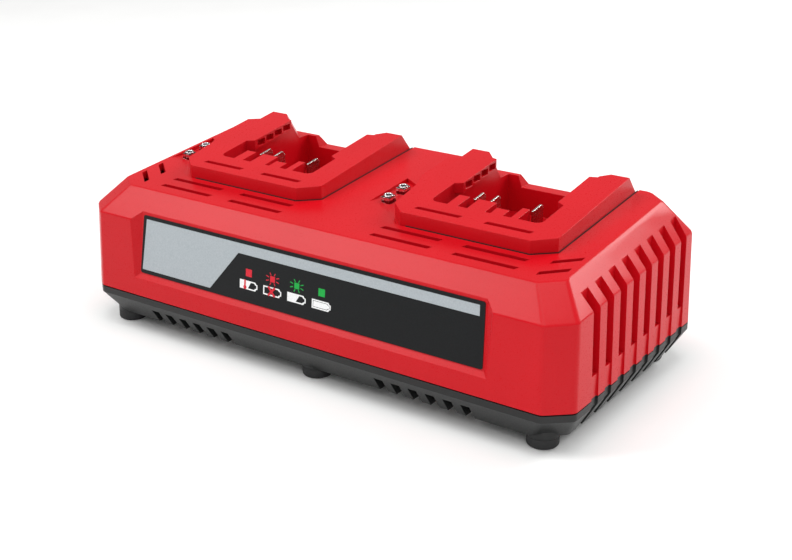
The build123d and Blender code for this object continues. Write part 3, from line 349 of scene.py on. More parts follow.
@dataclass(frozen=True)
class ClearResin:
    """Polished clear polycarbonate: sharp reflections, faint tint, a few hairlines."""

    name: str
    colour: str
    haze: str
    roughness: Pair = (0.02, 0.08)
    hair_mm: float = 0.4       # spacing of the hairlines
    hair_stretch: float = 0.1  # along Y, below one to draw them out
    cloud_mm: float = 2.0
    wave_depth_mm: float = 0.01
    ior: float = 1.585

    def build(self) -> bpy.types.Material:
        """Make the finish.

        Returns:
            Its material.
        """
        graph = Graph(self.name)
        drawn = graph.add("ShaderNodeMapping", {
            "Vector": graph.place, "Scale": (1.0, self.hair_stretch, 1.0)})
        hairs = graph.add("ShaderNodeTexNoise", {
            "Vector": drawn, "Scale": per_metre(self.hair_mm)})
        cloud = graph.add("ShaderNodeTexNoise", {
            "Vector": graph.place, "Scale": per_metre(self.cloud_mm)})
        share = graph.add("ShaderNodeMapRange", {0: cloud, **NOISE_SPAN, 3: 0.0, 4: 1.0})
        return graph.close(share, (self.colour, self.haze), hairs, self.roughness, {
            "Normal": graph.add("ShaderNodeBump", {
                "Height": cloud, "Distance": self.wave_depth_mm * MM}),
            "Transmission Weight": 1.0,
            "IOR": self.ior,
        })


@dataclass(frozen=True)
class SolderMask:
    """Glass-epoxy board under green mask, its copper tracks showing through as paler lines."""

    name: str
    colour: str
    track: str
    row_mm: float = 2.6
    row: float = 0.25          # the same in the units of the node
    glaze_mm: float = 3.0
    track_depth_mm: float = 0.035
    roughness: Pair = (0.24, 0.36)
    ior: float = 1.55

    def build(self) -> bpy.types.Material:
        """Make the finish.

        Returns:
            Its material.
        """
        graph = Graph(self.name)
        tracks = graph.add("ShaderNodeTexBrick", {
            "Vector": graph.place, "Scale": per_metre(self.row_mm) * self.row,
            "Mortar Size": 0.03, "Mortar Smooth": 0.1, "Brick Width": 1.9, "Row Height": self.row,
        }).outputs["Fac"]
        glaze = graph.add("ShaderNodeTexNoise", {
            "Vector": graph.place, "Scale": per_metre(self.glaze_mm)})
        return graph.close(tracks, (self.colour, self.track), glaze, self.roughness, {
            "Normal": graph.add("ShaderNodeBump", {
                "Height": tracks, "Distance": self.track_depth_mm * MM}),
            "IOR": self.ior,
        })


@dataclass(frozen=True)
class SleevedCan:
    """Electrolytic can: shrunk dark sleeve with one pale stripe, bare aluminium on top."""

    name: str
    sleeve: str
    stripe: str
    top: str
    stripe_from: float = 0.93  # share of the normal along X from which the stripe shows
    top_from: float = 0.9      # share of the normal along Z from which the can is bare
    crease_mm: float = 1.6
    crease_stretch: float = 0.3  # along Z, below one to draw the creases out
    crease_depth_mm: float = 0.02
    roughness: Pair = (0.2, 0.34)

    def build(self) -> bpy.types.Material:
        """Make the finish.

        Returns:
            Its material.
        """
        graph = Graph(self.name)
        axes = graph.add("ShaderNodeSeparateXYZ", {0: graph.facing}).outputs
        stripe = graph.add("ShaderNodeMath", {0: axes[0], 1: self.stripe_from},
                           operation="GREATER_THAN")
        bare = graph.add("ShaderNodeMath", {0: axes[2], 1: self.top_from},
                         operation="GREATER_THAN")
        drawn = graph.add("ShaderNodeMapping", {
            "Vector": graph.place, "Scale": (1.0, 1.0, self.crease_stretch)})
        shrink = graph.add("ShaderNodeTexNoise", {
            "Vector": drawn, "Scale": per_metre(self.crease_mm), "Detail": 3.0})
        sleeve = graph.add("ShaderNodeMix", {
            "Factor": stripe, 6: self.sleeve, 7: self.stripe}, data_type="RGBA").outputs[2]
        return graph.close(bare, (sleeve, self.top), shrink, self.roughness, {
            "Metallic": bare,
            "Normal": graph.add("ShaderNodeBump", {
                "Height": shrink, "Distance": self.crease_depth_mm * MM}),
        })


@dataclass(frozen=True)
class WoundRing:
    """Ring choke: enamelled copper turns laid round a core, seen as ridges about its axis, with
    painted shade in the valleys between the turns.
    """

    name: str
    wire: str
    # painted shade: the darker colour laid in the valleys between the turns
    shade: str
    centre_mm: Pair = (74.0, 18.0)
    turns: int = 34
    ridge_depth_mm: float = 0.5
    wear_mm: float = 1.0
    roughness: Pair = (0.22, 0.34)

    def build(self) -> bpy.types.Material:
        """Make the finish: the ridge is the sine of the angle about the axis times the turns.

        Returns:
            Its material.
        """
        graph = Graph(self.name)
        shift = (-self.centre_mm[0] * MM, -self.centre_mm[1] * MM, 0.0)
        middle = graph.add("ShaderNodeMapping", {"Vector": graph.place, "Location": shift})
        turn = graph.add("ShaderNodeTexGradient", {0: middle}, gradient_type="RADIAL")
        phase = graph.add("ShaderNodeMath", {
            0: turn.outputs[1], 1: self.turns * 2 * math.pi}, operation="MULTIPLY")
        wave = graph.add("ShaderNodeMath", {0: phase}, operation="SINE")
        ridge = graph.add("ShaderNodeMapRange", {0: wave, 1: -1.0, 2: 1.0, 3: 0.0, 4: 1.0})
        wear = graph.add("ShaderNodeTexNoise", {
            "Vector": graph.place, "Scale": per_metre(self.wear_mm)})
        return graph.close(ridge, (self.shade, self.wire), wear, self.roughness, {
            "Metallic": 1.0,
            "Normal": graph.add("ShaderNodeBump", {
                "Height": ridge, "Distance": self.ridge_depth_mm * MM}),
        })


@dataclass(frozen=True)
class TapedBobbin:
    """Transformer bobbin under layers of polyester tape, on tinned pins."""

    name: str
    tape: str
    lap: str
    pin: str
    pin_top_mm: float = 19.0
    lap_mm: float = 6.5
    lap_edge: float = 0.15     # share of a lap that its edge takes
    lap_depth_mm: float = 0.05
    gloss_mm: float = 2.5
    roughness: Pair = (0.2, 0.36)

    def build(self) -> bpy.types.Material:
        """Make the finish.

        Returns:
            Its material.
        """
        graph = Graph(self.name)
        height = graph.add("ShaderNodeSeparateXYZ", {0: graph.place}).outputs[2]
        pins = graph.add("ShaderNodeMath", {0: height, 1: self.pin_top_mm * MM},
                         operation="LESS_THAN")
        count = graph.add("ShaderNodeMath", {0: height, 1: per_metre(self.lap_mm)},
                          operation="MULTIPLY")
        laps = graph.add("ShaderNodeMath", {0: count}, operation="FRACT")
        edge = graph.add("ShaderNodeMapRange", {0: laps, 1: 0.0, 2: self.lap_edge, 3: 0.0, 4: 1.0})
        tape = graph.add("ShaderNodeMix", {
            "Factor": edge, 6: self.lap, 7: self.tape}, data_type="RGBA").outputs[2]
        gloss = graph.add("ShaderNodeTexNoise", {
            "Vector": graph.place, "Scale": per_metre(self.gloss_mm)})
        return graph.close(pins, (tape, self.pin), gloss, self.roughness, {
            "Metallic": pins,
            "Normal": graph.add("ShaderNodeBump", {
                "Height": edge, "Distance": self.lap_depth_mm * MM}),
        })


@dataclass(frozen=True)
class CappedTube:
    """Cartridge fuse: clear glass between plated end caps and clips."""

    name: str
    glass: str
    cap: str
    centre_mm: float = -16.0
    glass_half_mm: float = 5.0
    smear_mm: float = 0.8
    roughness: Pair = (0.06, 0.2)

    def build(self) -> bpy.types.Material:
        """Make the finish.

        Returns:
            Its material.
        """
        graph = Graph(self.name)
        along = graph.add("ShaderNodeSeparateXYZ", {0: graph.place}).outputs[0]
        offset = graph.add("ShaderNodeMath", {0: along, 1: self.centre_mm * MM},
                           operation="SUBTRACT")
        away = graph.add("ShaderNodeMath", {0: offset}, operation="ABSOLUTE")
        caps = graph.add("ShaderNodeMath", {0: away, 1: self.glass_half_mm * MM},
                         operation="GREATER_THAN")
        smear = graph.add("ShaderNodeTexNoise", {
            "Vector": graph.place, "Scale": per_metre(self.smear_mm)})
        return graph.close(caps, (self.glass, self.cap), smear, self.roughness, {
            "Metallic": caps,
            "Transmission Weight": graph.add("ShaderNodeMath", {0: 1.0, 1: caps},
                                             operation="SUBTRACT"),
        })


@dataclass(frozen=True)
class PaintedFloor:
    """Flat white paint: almost even, with a broad faint change of tone."""

    name: str
    colour: str
    pale: str
    tone_mm: float = 160.0
    wear_mm: float = 40.0
    roughness: Pair = (0.6, 0.7)

    def build(self) -> bpy.types.Material:
        """Make the finish.

        Returns:
            Its material.
        """
        graph = Graph(self.name)
        tone = graph.add("ShaderNodeTexNoise", {
            "Vector": graph.place, "Scale": per_metre(self.tone_mm)})
        wear = graph.add("ShaderNodeTexNoise", {
            "Vector": graph.place, "Scale": per_metre(self.wear_mm)})
        share = graph.add("ShaderNodeMapRange", {0: tone, **NOISE_SPAN, 3: 0.0, 4: 1.0})
        return graph.close(share, (self.colour, self.pale), wear, self.roughness, {})


Finish = (MouldedPlastic | Rubber | DrawnMetal | PrintedFilm | ClearResin | SolderMask
          | SleevedCan | WoundRing | TapedBobbin | CappedTube)

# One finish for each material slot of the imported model.
FINISHES: dict[str, Finish] = {
    # Satin ABS in signal red: strong even colour, soft highlight, bright rounded corners.
    "red_housing": MouldedPlastic("abs_red_satin", "#C10A17", "#C90E1B", 0.31, shine=0.17),
    # Textured black ABS: a neutral dark grey once lit, duller than the red.
    "black_base": MouldedPlastic("abs_black_textured", "#131414", "#171818", 0.4,
                                 grain_mm=0.6, grain_depth_mm=0.02, shine=0.35),
    # Nitrile rubber: dead matte, greyish where it has bloomed.
    "foot_rubber": Rubber("nitrile_rubber_feet", "#1C1C1D", "#262627"),
    # Softer PVC rubber: a shade blacker and smoother than the feet.
    "gland_rubber": Rubber("pvc_rubber_gland", "#171718", "#1F1F20", 0.6, 0.4),
    # Black-backed velvet film: deep neutral black with a soft sheen.
    "label_film": PrintedFilm("polycarbonate_film_black", "#121314", "#16181A", shine=0.12),
    # Glass-filled PBT: black, slightly silky from the fibres.
    "black_insulator": MouldedPlastic("pbt_black_glass_filled", "#141415", "#1B1B1C", 0.42,
                                      grain_mm=0.35, grain_depth_mm=0.02),
    # Tin plate over brass: bright, pale, faintly warm, drawn along the blade.
    "plated_contact": DrawnMetal("brass_tin_plated", "#D9D8D3", "#C4C2BB", 0.2, Axis.Y),
    # Clear polished lens: dark well seen through it, sharp glints on its rounded rim.
    "lamp_lens": ClearResin("polycarbonate_clear_polished", "#F4F8F8", "#E4ECEC"),
    # White package of a status lamp: pale, even and slightly glossy.
    "led_package": MouldedPlastic("epoxy_white_package", "#D9D7CB", "#E6E4DA", 0.3,
                                  grain_mm=0.3, grain_depth_mm=0.004, flow_mm=2.0),
    # Glass-epoxy board: glossy deep green with paler raised lines.
    "circuit_board": SolderMask("glass_epoxy_green_mask", "#0E3B1E", "#1D5C31"),
    # Natural nylon: milky and slightly waxy.
    "white_nylon": MouldedPlastic("nylon_natural", "#DAD8CC", "#E5E3D8", 0.44, flow_mm=6.0),
    # PVC wire covering: smooth and slightly glossy.
    "lead_insulation": MouldedPlastic("pvc_lead_insulation", "#191919", "#222222", 0.36,
                                      grain_mm=0.5, grain_depth_mm=0.006, flow_mm=8.0),
    # Bright zinc on turned steel: cool, with fine lines round the thread.
    "zinc_steel": DrawnMetal("steel_bright_zinc", "#C3C7CB", "#A9ADB1", 0.26, Axis.Z),
    # Extruded aluminium: pale, with die lines up the fins.
    "heatsink_aluminium": DrawnMetal("aluminium_extruded", "#CFD1D3", "#BCBEC0", 0.34, Axis.Z),
    # Moulded epoxy of a power package: flat black.
    "package_resin": MouldedPlastic("epoxy_black_package", "#111112", "#171718", 0.55,
                                    grain_mm=0.35, flow_mm=5.0),
    # Heat-shrunk PVC sleeve: blue-black gloss with fine creases round a bare metal top.
    "capacitor_sleeve": SleevedCan("pvc_sleeved_can", "#101427", "#A9ADB6", "#C9CBCD"),
    # Enamelled copper wire: warm bright ridges, painted shade in the valleys between the turns.
    "copper_winding": WoundRing("copper_enamelled_winding", "#C46A38", "#5A2A16"),
    # Drawn glass with nickel-plated caps: clear in the middle, bright at both ends.
    "fuse_glass": CappedTube("glass_fuse_with_caps", "#EEF2F0", "#CBCDCE"),
    # Sintered ferrite: dark grey, dry, faintly speckled.
    "ferrite": MouldedPlastic("ferrite_sintered", "#2A2A2B", "#353536", 0.6,
                              grain_mm=0.5, grain_depth_mm=0.03, flow_mm=4.0),
    # Polyester tape: glossy amber with a darker line at each lap.
    "winding_tape": TapedBobbin("polyester_winding_tape", "#D8A51E", "#A87A12", "#C9CBCC"),
    # PBT of a fan: black with a light gloss.
    "fan_plastic": MouldedPlastic("pbt_black_fan", "#131314", "#19191A", 0.34,
                                  grain_mm=0.4, grain_depth_mm=0.006, flow_mm=12.0),
}

class Ink(Enum):
    """Screen inks of the front label."""

    # Silver-grey ink: even, cool, light.
    SILVER = PrintedFilm("ink_silver_grey", "#A1A9AE", "#AEB5B9", 0.36, 0.2)
    # Opaque white ink: the brightest thing on the label.
    WHITE = PrintedFilm("ink_white", "#F2F3F3", "#E6E8E8", 0.36, 0.3)
    # Signal red ink: a little pinker and flatter than the housing.
    RED = PrintedFilm("ink_signal_red", "#D81E32", "#C8182B", 0.36, 0.2)
    # Signal green ink: clear mid green.
    GREEN = PrintedFilm("ink_signal_green", "#0FAE45", "#0C9C3C", 0.36, 0.2)


@dataclass
class SoftEdges:
    """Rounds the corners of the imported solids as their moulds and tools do."""

    radii_mm: dict[str, float] = field(default_factory=lambda: {
        "red_housing": 0.7, "black_base": 0.4, "foot_rubber": 0.3, "gland_rubber": 0.4,
        "black_insulator": 0.25, "plated_contact": 0.12, "lamp_lens": 0.25, "led_package": 0.15,
        "circuit_board": 0.1, "white_nylon": 0.2, "zinc_steel": 0.12, "heatsink_aluminium": 0.2,
        "package_resin": 0.2, "capacitor_sleeve": 0.3, "ferrite": 0.4, "winding_tape": 0.3,
        "fan_plastic": 0.2, "label_film": 0.05,
    })
    segments: int = 2
    corner_deg: float = 28.0   # edges sharper than this are rounded
    flat_deg: float = 0.5      # faces within this lie in one plane
    weld_mm: float = 0.002

    def smooth_group(self) -> bpy.types.NodeTree:
        """Make a node group that marks every face smooth.

        Returns:
            The group.
        """
        group = bpy.data.node_groups.new("smooth_faces", "GeometryNodeTree")
        for way in ("INPUT", "OUTPUT"):
            group.interface.new_socket("Geometry", in_out=way, socket_type="NodeSocketGeometry")
        start = group.nodes.new("NodeGroupInput")
        shade = group.nodes.new("GeometryNodeSetShadeSmooth")
        end = group.nodes.new("NodeGroupOutput")
        group.links.new(start.outputs[0], shade.inputs[0])
        group.links.new(shade.outputs[0], end.inputs[0])
        return group

    def soften(self, node: bpy.types.Object, radius_mm: float, group: bpy.types.NodeTree) -> None:
        """Weld, flatten, round and smooth one solid with modifiers.

        Args:
            node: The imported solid.
            radius_mm: Width of the rounding.
            group: The group from smooth_group.
        """
        weld = node.modifiers.new("weld", "WELD")
        weld.merge_threshold = self.weld_mm * MM
        flat = node.modifiers.new("flat_faces", "DECIMATE")
        flat.decimate_type = "DISSOLVE"
        flat.angle_limit = math.radians(self.flat_deg)
        edge = node.modifiers.new("corners", "BEVEL")
        edge.width = radius_mm * MM
        edge.segments = self.segments
        edge.limit_method = "ANGLE"
        edge.angle_limit = math.radians(self.corner_deg)
        smooth = node.modifiers.new("smooth", "NODES")
        smooth.node_group = group
        even = node.modifiers.new("even_faces", "WEIGHTED_NORMAL")
        even.keep_sharp = False

    def build(self) -> None:
        """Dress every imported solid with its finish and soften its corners."""
        group = self.smooth_group()
        built = {slot: finish.build() for slot, finish in FINISHES.items()}
        for name, node in sorted(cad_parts.items()):
            slot = node.material_slots[0].material.name
            for place in node.material_slots:
                place.material = built[slot]
            radius = self.radii_mm.get(slot)
            if radius:
                self.soften(node, radius, group)
            LOG.info("%s: %s", name, built[slot].name)


@dataclass
class LabelPrint:
    """Print on the front label: silver panel, strip and four charge-state pictograms.

    Places are on the label's own plane: u along the housing, v up the label, both in mm from
    the foot of the recess floor on the middle of the housing.
    """

    foot_y: float = -57.6
    foot_z: float = 28.2
    top_y: float = -54.9
    top_z: float = 56.0
    face_mm: float = 0.25      # the film's thickness
    ink_mm: float = 0.03
    ink_step_mm: float = 0.04  # from one layer of overprint to the next
    panel: tuple[Pair, ...] = (
        (-87.0, 2.3), (-48.0, 2.3), (-32.8, 20.8), (82.6, 20.8), (82.4, 25.1), (-84.5, 25.1))
    state_u: tuple[float, ...] = (-27.0, -14.5, -2.0, 10.5)
    lamp_v: float = 13.4
    lamp_half: float = 1.6
    flash_half: float = 1.25
    ray_count: int = 8
    ray_first_deg: float = 22.5
    ray_reach: Pair = (1.1, 0.85)  # factors on the rays along u and v
    ray_start: float = 1.9
    ray_stop: float = 3.3
    ray_width: float = 0.38
    cell_low: float = 6.2
    cell_high: float = 10.0
    cell_left: float = -4.7
    cell_shoulder: float = 3.9
    cell_tip: float = 4.7
    cell_nub: float = 1.15     # half the height of the terminal
    nub_share: float = 0.6     # of an inset that the terminal takes on each side
    cell_round: float = 0.4
    line: float = 0.55
    charge_foot: float = -0.3  # where a part charge ends at its foot, from the sign's middle
    charge_tops: Pair = (1.2, 1.4)  # and at its top, for the first and the third sign
    full_gap: float = 0.2      # between the line and a full charge
    tube_u: float = -1.9       # thermometer, from the first sign's middle
    tube_foot: float = -1.0
    tube_top: float = 2.2
    tube_width: float = 0.8
    bulb_v: float = -1.1
    bulb_radius: float = 0.85
    bulb_sides: int = 24
    cross_left: float = -2.0   # from the second sign's middle
    cross_right: float = 1.4
    cross_half: float = 1.9
    cross_width: float = 0.95
    inks: dict[Ink, bpy.types.Material] = field(default_factory=dict)

    def lift(self, flat: np.ndarray, height: float) -> np.ndarray:
        """Carry flat (u, v) points to the label.

        The point is foot + u * X + v * up + height * out, where up is the unit vector from the
        foot of the floor to its top and out is the unit normal towards the front.

        Args:
            flat: Rows of u and v in mm.
            height: Distance in front of the floor in mm.

        Returns:
            Rows of x, y and z in metres.
        """
        up = np.array([0.0, self.top_y - self.foot_y, self.top_z - self.foot_z])
        up /= np.linalg.norm(up)
        out = np.array([0.0, -up[2], up[1]])
        foot = np.array([0.0, self.foot_y, self.foot_z])
        along = np.array([1.0, 0.0, 0.0])
        return (foot + flat[:, :1] * along + flat[:, 1:] * up + height * out) * MM

    def print_layer(self, name: str, outlines: list[np.ndarray], ink: Ink,
                    lift_mm: float = 0.0) -> None:
        """Make one layer of ink from closed outlines.

        Each outline is a prism: its ring on the film and the same ring ink_mm further out, closed
        by an outer face, an inner face and a wall.

        Args:
            name: Name of the piece.
            outlines: Rows of u and v, anticlockwise, one array for each patch.
            ink: Ink of the layer.
            lift_mm: Extra height, for ink printed on ink.
        """
        points, faces, start = [], [], 0
        low = self.face_mm + lift_mm
        for outline in outlines:
            count = len(outline)
            points += [self.lift(outline, low), self.lift(outline, low + self.ink_mm)]
            inner = np.arange(start, start + count)
            outer = inner + count
            faces += [outer.tolist(), inner[::-1].tolist()]
            wall = np.stack([inner, np.roll(inner, -1), np.roll(outer, -1), outer], axis=1)
            faces += wall.tolist()
            start += 2 * count
        piece = link_mesh(name, np.concatenate(points), faces, self.inks[ink])
        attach(piece, "charger")
        LOG.info("%s: %d patches of %s", name, len(outlines), ink.value.name)

    def square(self, u: float, v: float, half: float) -> np.ndarray:
        """Outline of a square lamp sign: its middle plus and minus half on u and v."""
        return np.array([u, v]) + half * np.array([(-1, -1), (1, -1), (1, 1), (-1, 1)])

    def stroke(self, start: np.ndarray | Pair, stop: np.ndarray | Pair,
               width: float) -> np.ndarray:
        """Outline of a straight stroke: both ends moved half the width to each side.

        Args:
            start: One end, u and v.
            stop: The other end.
            width: Width of the stroke.

        Returns:
            Its four corners, anticlockwise.
        """
        a, b = np.array(start, float), np.array(stop, float)
        side = np.array([a[1] - b[1], b[0] - a[0]])
        side *= width / 2 / np.linalg.norm(side)
        return np.array([a - side, b - side, b + side, a + side])

    def rays(self, u: float, v: float) -> list[np.ndarray]:
        """Strokes round a flashing lamp.

        Ray k lies along w = (reach_u * cos t, reach_v * sin t) at t = first + k * 360 / count,
        from the middle plus ray_start * w to the middle plus ray_stop * w.

        Args:
            u: Middle of the lamp along the label.
            v: Middle of the lamp up the label.

        Returns:
            One outline for each ray.
        """
        angles = np.radians(self.ray_first_deg + 360.0 / self.ray_count * np.arange(self.ray_count))
        way = np.stack([np.cos(angles), np.sin(angles)], axis=1) * self.ray_reach
        middle = np.array([u, v])
        return [self.stroke(middle + self.ray_start * w, middle + self.ray_stop * w,
                            self.ray_width) for w in way]

    def cell_outline(self, u: float, inset: float) -> np.ndarray:
        """Outline of a battery sign with its terminal, moved inwards.

        It is a box between low and high and between left and shoulder with its two right corners
        cut, and on the middle of its right side a terminal out to tip.

        Args:
            u: Middle of the sign.
            inset: Distance moved inwards.

        Returns:
            Ten corners, anticlockwise.
        """
        low, high = self.cell_low + inset, self.cell_high - inset
        middle = (low + high) / 2
        left = u + self.cell_left + inset
        shoulder, tip = u + self.cell_shoulder - inset, u + self.cell_tip - inset
        nub, corner = self.cell_nub - inset * self.nub_share, self.cell_round
        return np.array([
            (left, low), (shoulder - corner, low), (shoulder, low + corner),
            (shoulder, middle - nub), (tip, middle - nub + corner / 2),
            (tip, middle + nub - corner / 2), (shoulder, middle + nub),
            (shoulder, high - corner), (shoulder - corner, high), (left, high),
        ])

    def cell_frame(self, u: float) -> list[np.ndarray]:
        """Ring of the battery sign: a strip between the outline and the same moved in by line.

        Args:
            u: Middle of the sign.

        Returns:
            One outline for each side.
        """
        outer = self.cell_outline(u, 0.0)
        inner = self.cell_outline(u, self.line)
        ahead = [np.roll(ring, -1, axis=0) for ring in (outer, inner)]
        return list(np.stack([outer, ahead[0], ahead[1], inner], axis=1))

    def cell_fill(self, u: float, top: float) -> np.ndarray:
        """Part charge in a battery sign, with a slanted end.

        Args:
            u: Middle of the sign.
            top: Where the charge ends at its top, from the middle.

        Returns:
            Four corners, anticlockwise.
        """
        low, high = self.cell_low + self.line, self.cell_high - self.line
        left = u + self.cell_left + self.line
        return np.array([(left, low), (u + self.charge_foot, low), (u + top, high), (left, high)])

    def overprints(self) -> list[np.ndarray]:
        """Red marks over the first two battery signs: a thermometer and a cross.

        The bulb is the middle plus bulb_radius * (cos t, sin t) at even steps of t.

        Returns:
            Bulb, tube and the two strokes of the cross.
        """
        one, two = self.state_u[:2]
        middle = (self.cell_low + self.cell_high) / 2
        turns = np.linspace(0, 2 * math.pi, self.bulb_sides, endpoint=False)
        bulb = np.stack([one + self.tube_u + self.bulb_radius * np.cos(turns),
                         middle + self.bulb_v + self.bulb_radius * np.sin(turns)], axis=1)
        left, right = two + self.cross_left, two + self.cross_right
        low, high = middle - self.cross_half, middle + self.cross_half
        return [
            bulb,
            self.stroke((one + self.tube_u, middle + self.tube_foot),
                        (one + self.tube_u, middle + self.tube_top), self.tube_width),
            self.stroke((left, low), (right, high), self.cross_width),
            self.stroke((left, high), (right, low), self.cross_width),
        ]

    def lamp_signs(self, steady: float, flashing: float) -> list[np.ndarray]:
        """Signs of one colour: a steady lamp, and a flashing one with its rays.

        Args:
            steady: Place of the steady lamp along the label.
            flashing: Place of the flashing lamp along the label.

        Returns:
            One outline for each patch.
        """
        return [
            self.square(steady, self.lamp_v, self.lamp_half),
            self.square(flashing, self.lamp_v, self.flash_half),
            *self.rays(flashing, self.lamp_v),
        ]

    def build(self) -> None:
        """Print the panel, then the white, red and green signs."""
        self.inks = {ink: ink.value.build() for ink in Ink}
        one, two, three, four = self.state_u
        self.print_layer("label_panel", [np.array(self.panel)], Ink.SILVER)
        white = [strip for u in self.state_u for strip in self.cell_frame(u)]
        white += [self.cell_fill(u, top) for u, top in zip((one, three), self.charge_tops)]
        white.append(self.cell_outline(four, self.line + self.full_gap))
        self.print_layer("label_signs_white", white, Ink.WHITE)
        self.print_layer("label_signs_red", self.lamp_signs(one, two), Ink.RED)
        for index, mark in enumerate(self.overprints(), 1):
            self.print_layer(f"label_mark_{index}", [mark], Ink.RED, self.ink_step_mm * index)
        self.print_layer("label_signs_green", self.lamp_signs(four, three), Ink.GREEN)


@dataclass
class DockGapShades:
    """Thin black strip in the joint between each dock and the top deck: painted shade, standing in
    for the shadow in the gap.

    Plan points are in mm about the middle of a dock, from the left of its front to its rear right.
    """

    dock_x: Pair = (-52.5, 58.9)
    foot: tuple[Pair, ...] = (
        (-27.5, -28.4), (28.5, -28.4), (37.1, -22.1), (37.1, 45.5))
    near: float = 0.06         # from the wall of the dock
    width: float = 0.3
    below: float = 0.7         # foot of the lip under the deck
    above: float = 0.3         # crest of the lip over the deck

    def sweep(self, middle: float) -> tuple[np.ndarray, np.ndarray]:
        """Carry the lip's rectangle along the foot of one dock.

        At each plan point the rectangle stands on the mitre of the two neighbouring sides,
        m = (a + b) / (1 + a . b) with a and b their outward normals, and its heights are taken
        from the deck.

        Args:
            middle: X of the dock's middle in mm.

        Returns:
            Points in metres and four-sided faces, the two ends included.
        """
        foot = np.array(self.foot)
        steps = np.diff(foot, axis=0)
        out = np.stack([steps[:, 1], -steps[:, 0]], axis=1)
        out /= np.linalg.norm(out, axis=1, keepdims=True)
        before, after = np.vstack([out[:1], out]), np.vstack([out, out[-1:]])
        mitre = (before + after) / (1 + (before * after).sum(axis=1, keepdims=True))
        far = self.near + self.width
        reach = np.array([self.near, far, far, self.near])
        height = np.array([-self.below, -self.below, self.above, self.above])
        plan = foot[:, None, :] + mitre[:, None, :] * reach[None, :, None]
        z = DECK.height(plan[:, :, 1]) + height
        points = np.dstack([plan[:, :, 0] + middle, plan[:, :, 1], z]).reshape(-1, 3)
        ring = np.arange(4)
        first = 4 * np.arange(len(foot) - 1)[:, None] + ring
        turn = 4 * np.arange(len(foot) - 1)[:, None] + np.roll(ring, -1)
        faces = np.stack([first, turn, turn + 4, first + 4], axis=2).reshape(-1, 4)
        ends = np.array([ring[::-1], ring + 4 * (len(foot) - 1)])
        return points * MM, np.vstack([faces, ends])

    def build(self) -> None:
        """Lay one dark strip of painted shade round each dock."""
        # Painted shade: the deepest matte black on the object, laid in the joint as the thin dark
        # line of its shadow.
        rubber = Rubber("epdm_dock_seal", "#0B0B0B", "#111111", 0.6, 0.3).build()
        for side, middle in zip(("left", "right"), self.dock_x):
            points, faces = self.sweep(middle)
            piece = link_mesh(side + "_dock_seal", points, faces.tolist(), rubber)
            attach(piece, "charger")
            LOG.info("%s: %d faces", piece.name, len(faces))


@dataclass
class LampTops:
    """Bright ring and dark eye on top of each lamp lens: a painted highlight on its rim and painted
    shade in its middle.

    Places are in mm; each profile is a row of radius and height over the lens.
    """

    lens_x: Pair = (-102.8, 8.6)
    lens_y: Pair = (-7.7, 3.3)
    stand: float = 1.0         # top of the lens over the deck
    ring: tuple[Pair, ...] = (
        (1.4, 0.0), (1.42, 0.3), (1.55, 0.5), (1.75, 0.55), (1.95, 0.42), (2.05, 0.0))
    eye: tuple[Pair, ...] = (
        (0.02, 0.0), (0.02, 0.08), (0.8, 0.08), (1.36, 0.04), (1.36, 0.0))
    turns: int = 32

    def turned(self, name: str, profile: tuple[Pair, ...], at: Pair,
               material: bpy.types.Material) -> None:
        """Turn a closed profile about the lens axis and stand it on the lens.

        A point of the profile at radius r and height h lies at (x + r cos t, y + r sin t) and at
        h over the lens, whose top rises with the deck along Y.

        Args:
            name: Name of the piece.
            profile: Rows of radius and height in mm.
            at: X and Y of the lens in mm.
            material: Finish of the piece.
        """
        radius, height = np.array(profile).T
        angle = np.linspace(0, 2 * math.pi, self.turns, endpoint=False)[:, None]
        x, y = at[0] + radius * np.cos(angle), at[1] + radius * np.sin(angle)
        points = np.dstack([x, y, DECK.height(y) + self.stand + height]).reshape(-1, 3) * MM
        count = len(radius)
        index = np.arange(self.turns * count).reshape(self.turns, count)
        ahead, along = np.roll(index, -1, axis=0), np.roll(index, -1, axis=1)
        corner = np.roll(along, -1, axis=0)
        faces = np.stack([index, along, corner, ahead], axis=2).reshape(-1, 4)
        piece = link_mesh(name, points, faces[:, ::-1].tolist(), material)
        piece.data.polygons.foreach_set("use_smooth", np.ones(len(faces), dtype=bool))
        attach(piece, "charger")
        LOG.info("%s: %d faces", name, len(faces))

    def build(self) -> None:
        """Dress the four lenses."""
        # Painted highlight: a bright metal ring on the lens rim that stands in for the rim's hard
        # glint.
        bright = DrawnMetal("painted_glint_ring", "#ECEDEE", "#DADCDE", 0.14, Axis.X).build()
        # Painted shade: a glossy black spot on the lens that stands in for the dark well seen
        # through it.
        dark = MouldedPlastic("painted_shade_eye", "#070808", "#0C0D0D", 0.12, grain_mm=0.3,
                              grain_depth_mm=0.002, flow_mm=1.0).build()
        for side, x in zip(("left", "right"), self.lens_x):
            for row, y in zip(("front", "rear"), self.lens_y):
                name = f"{side}_lamp_{row}"
                self.turned(name + "_ring", self.ring, (x, y), bright)
                self.turned(name + "_eye", self.eye, (x, y), dark)


@dataclass(frozen=True)
class SoftBox:
    """One square soft box: its place and side in metres, its power in watts."""

    name: str
    at: tuple[float, float, float]
    side: float
    power: float


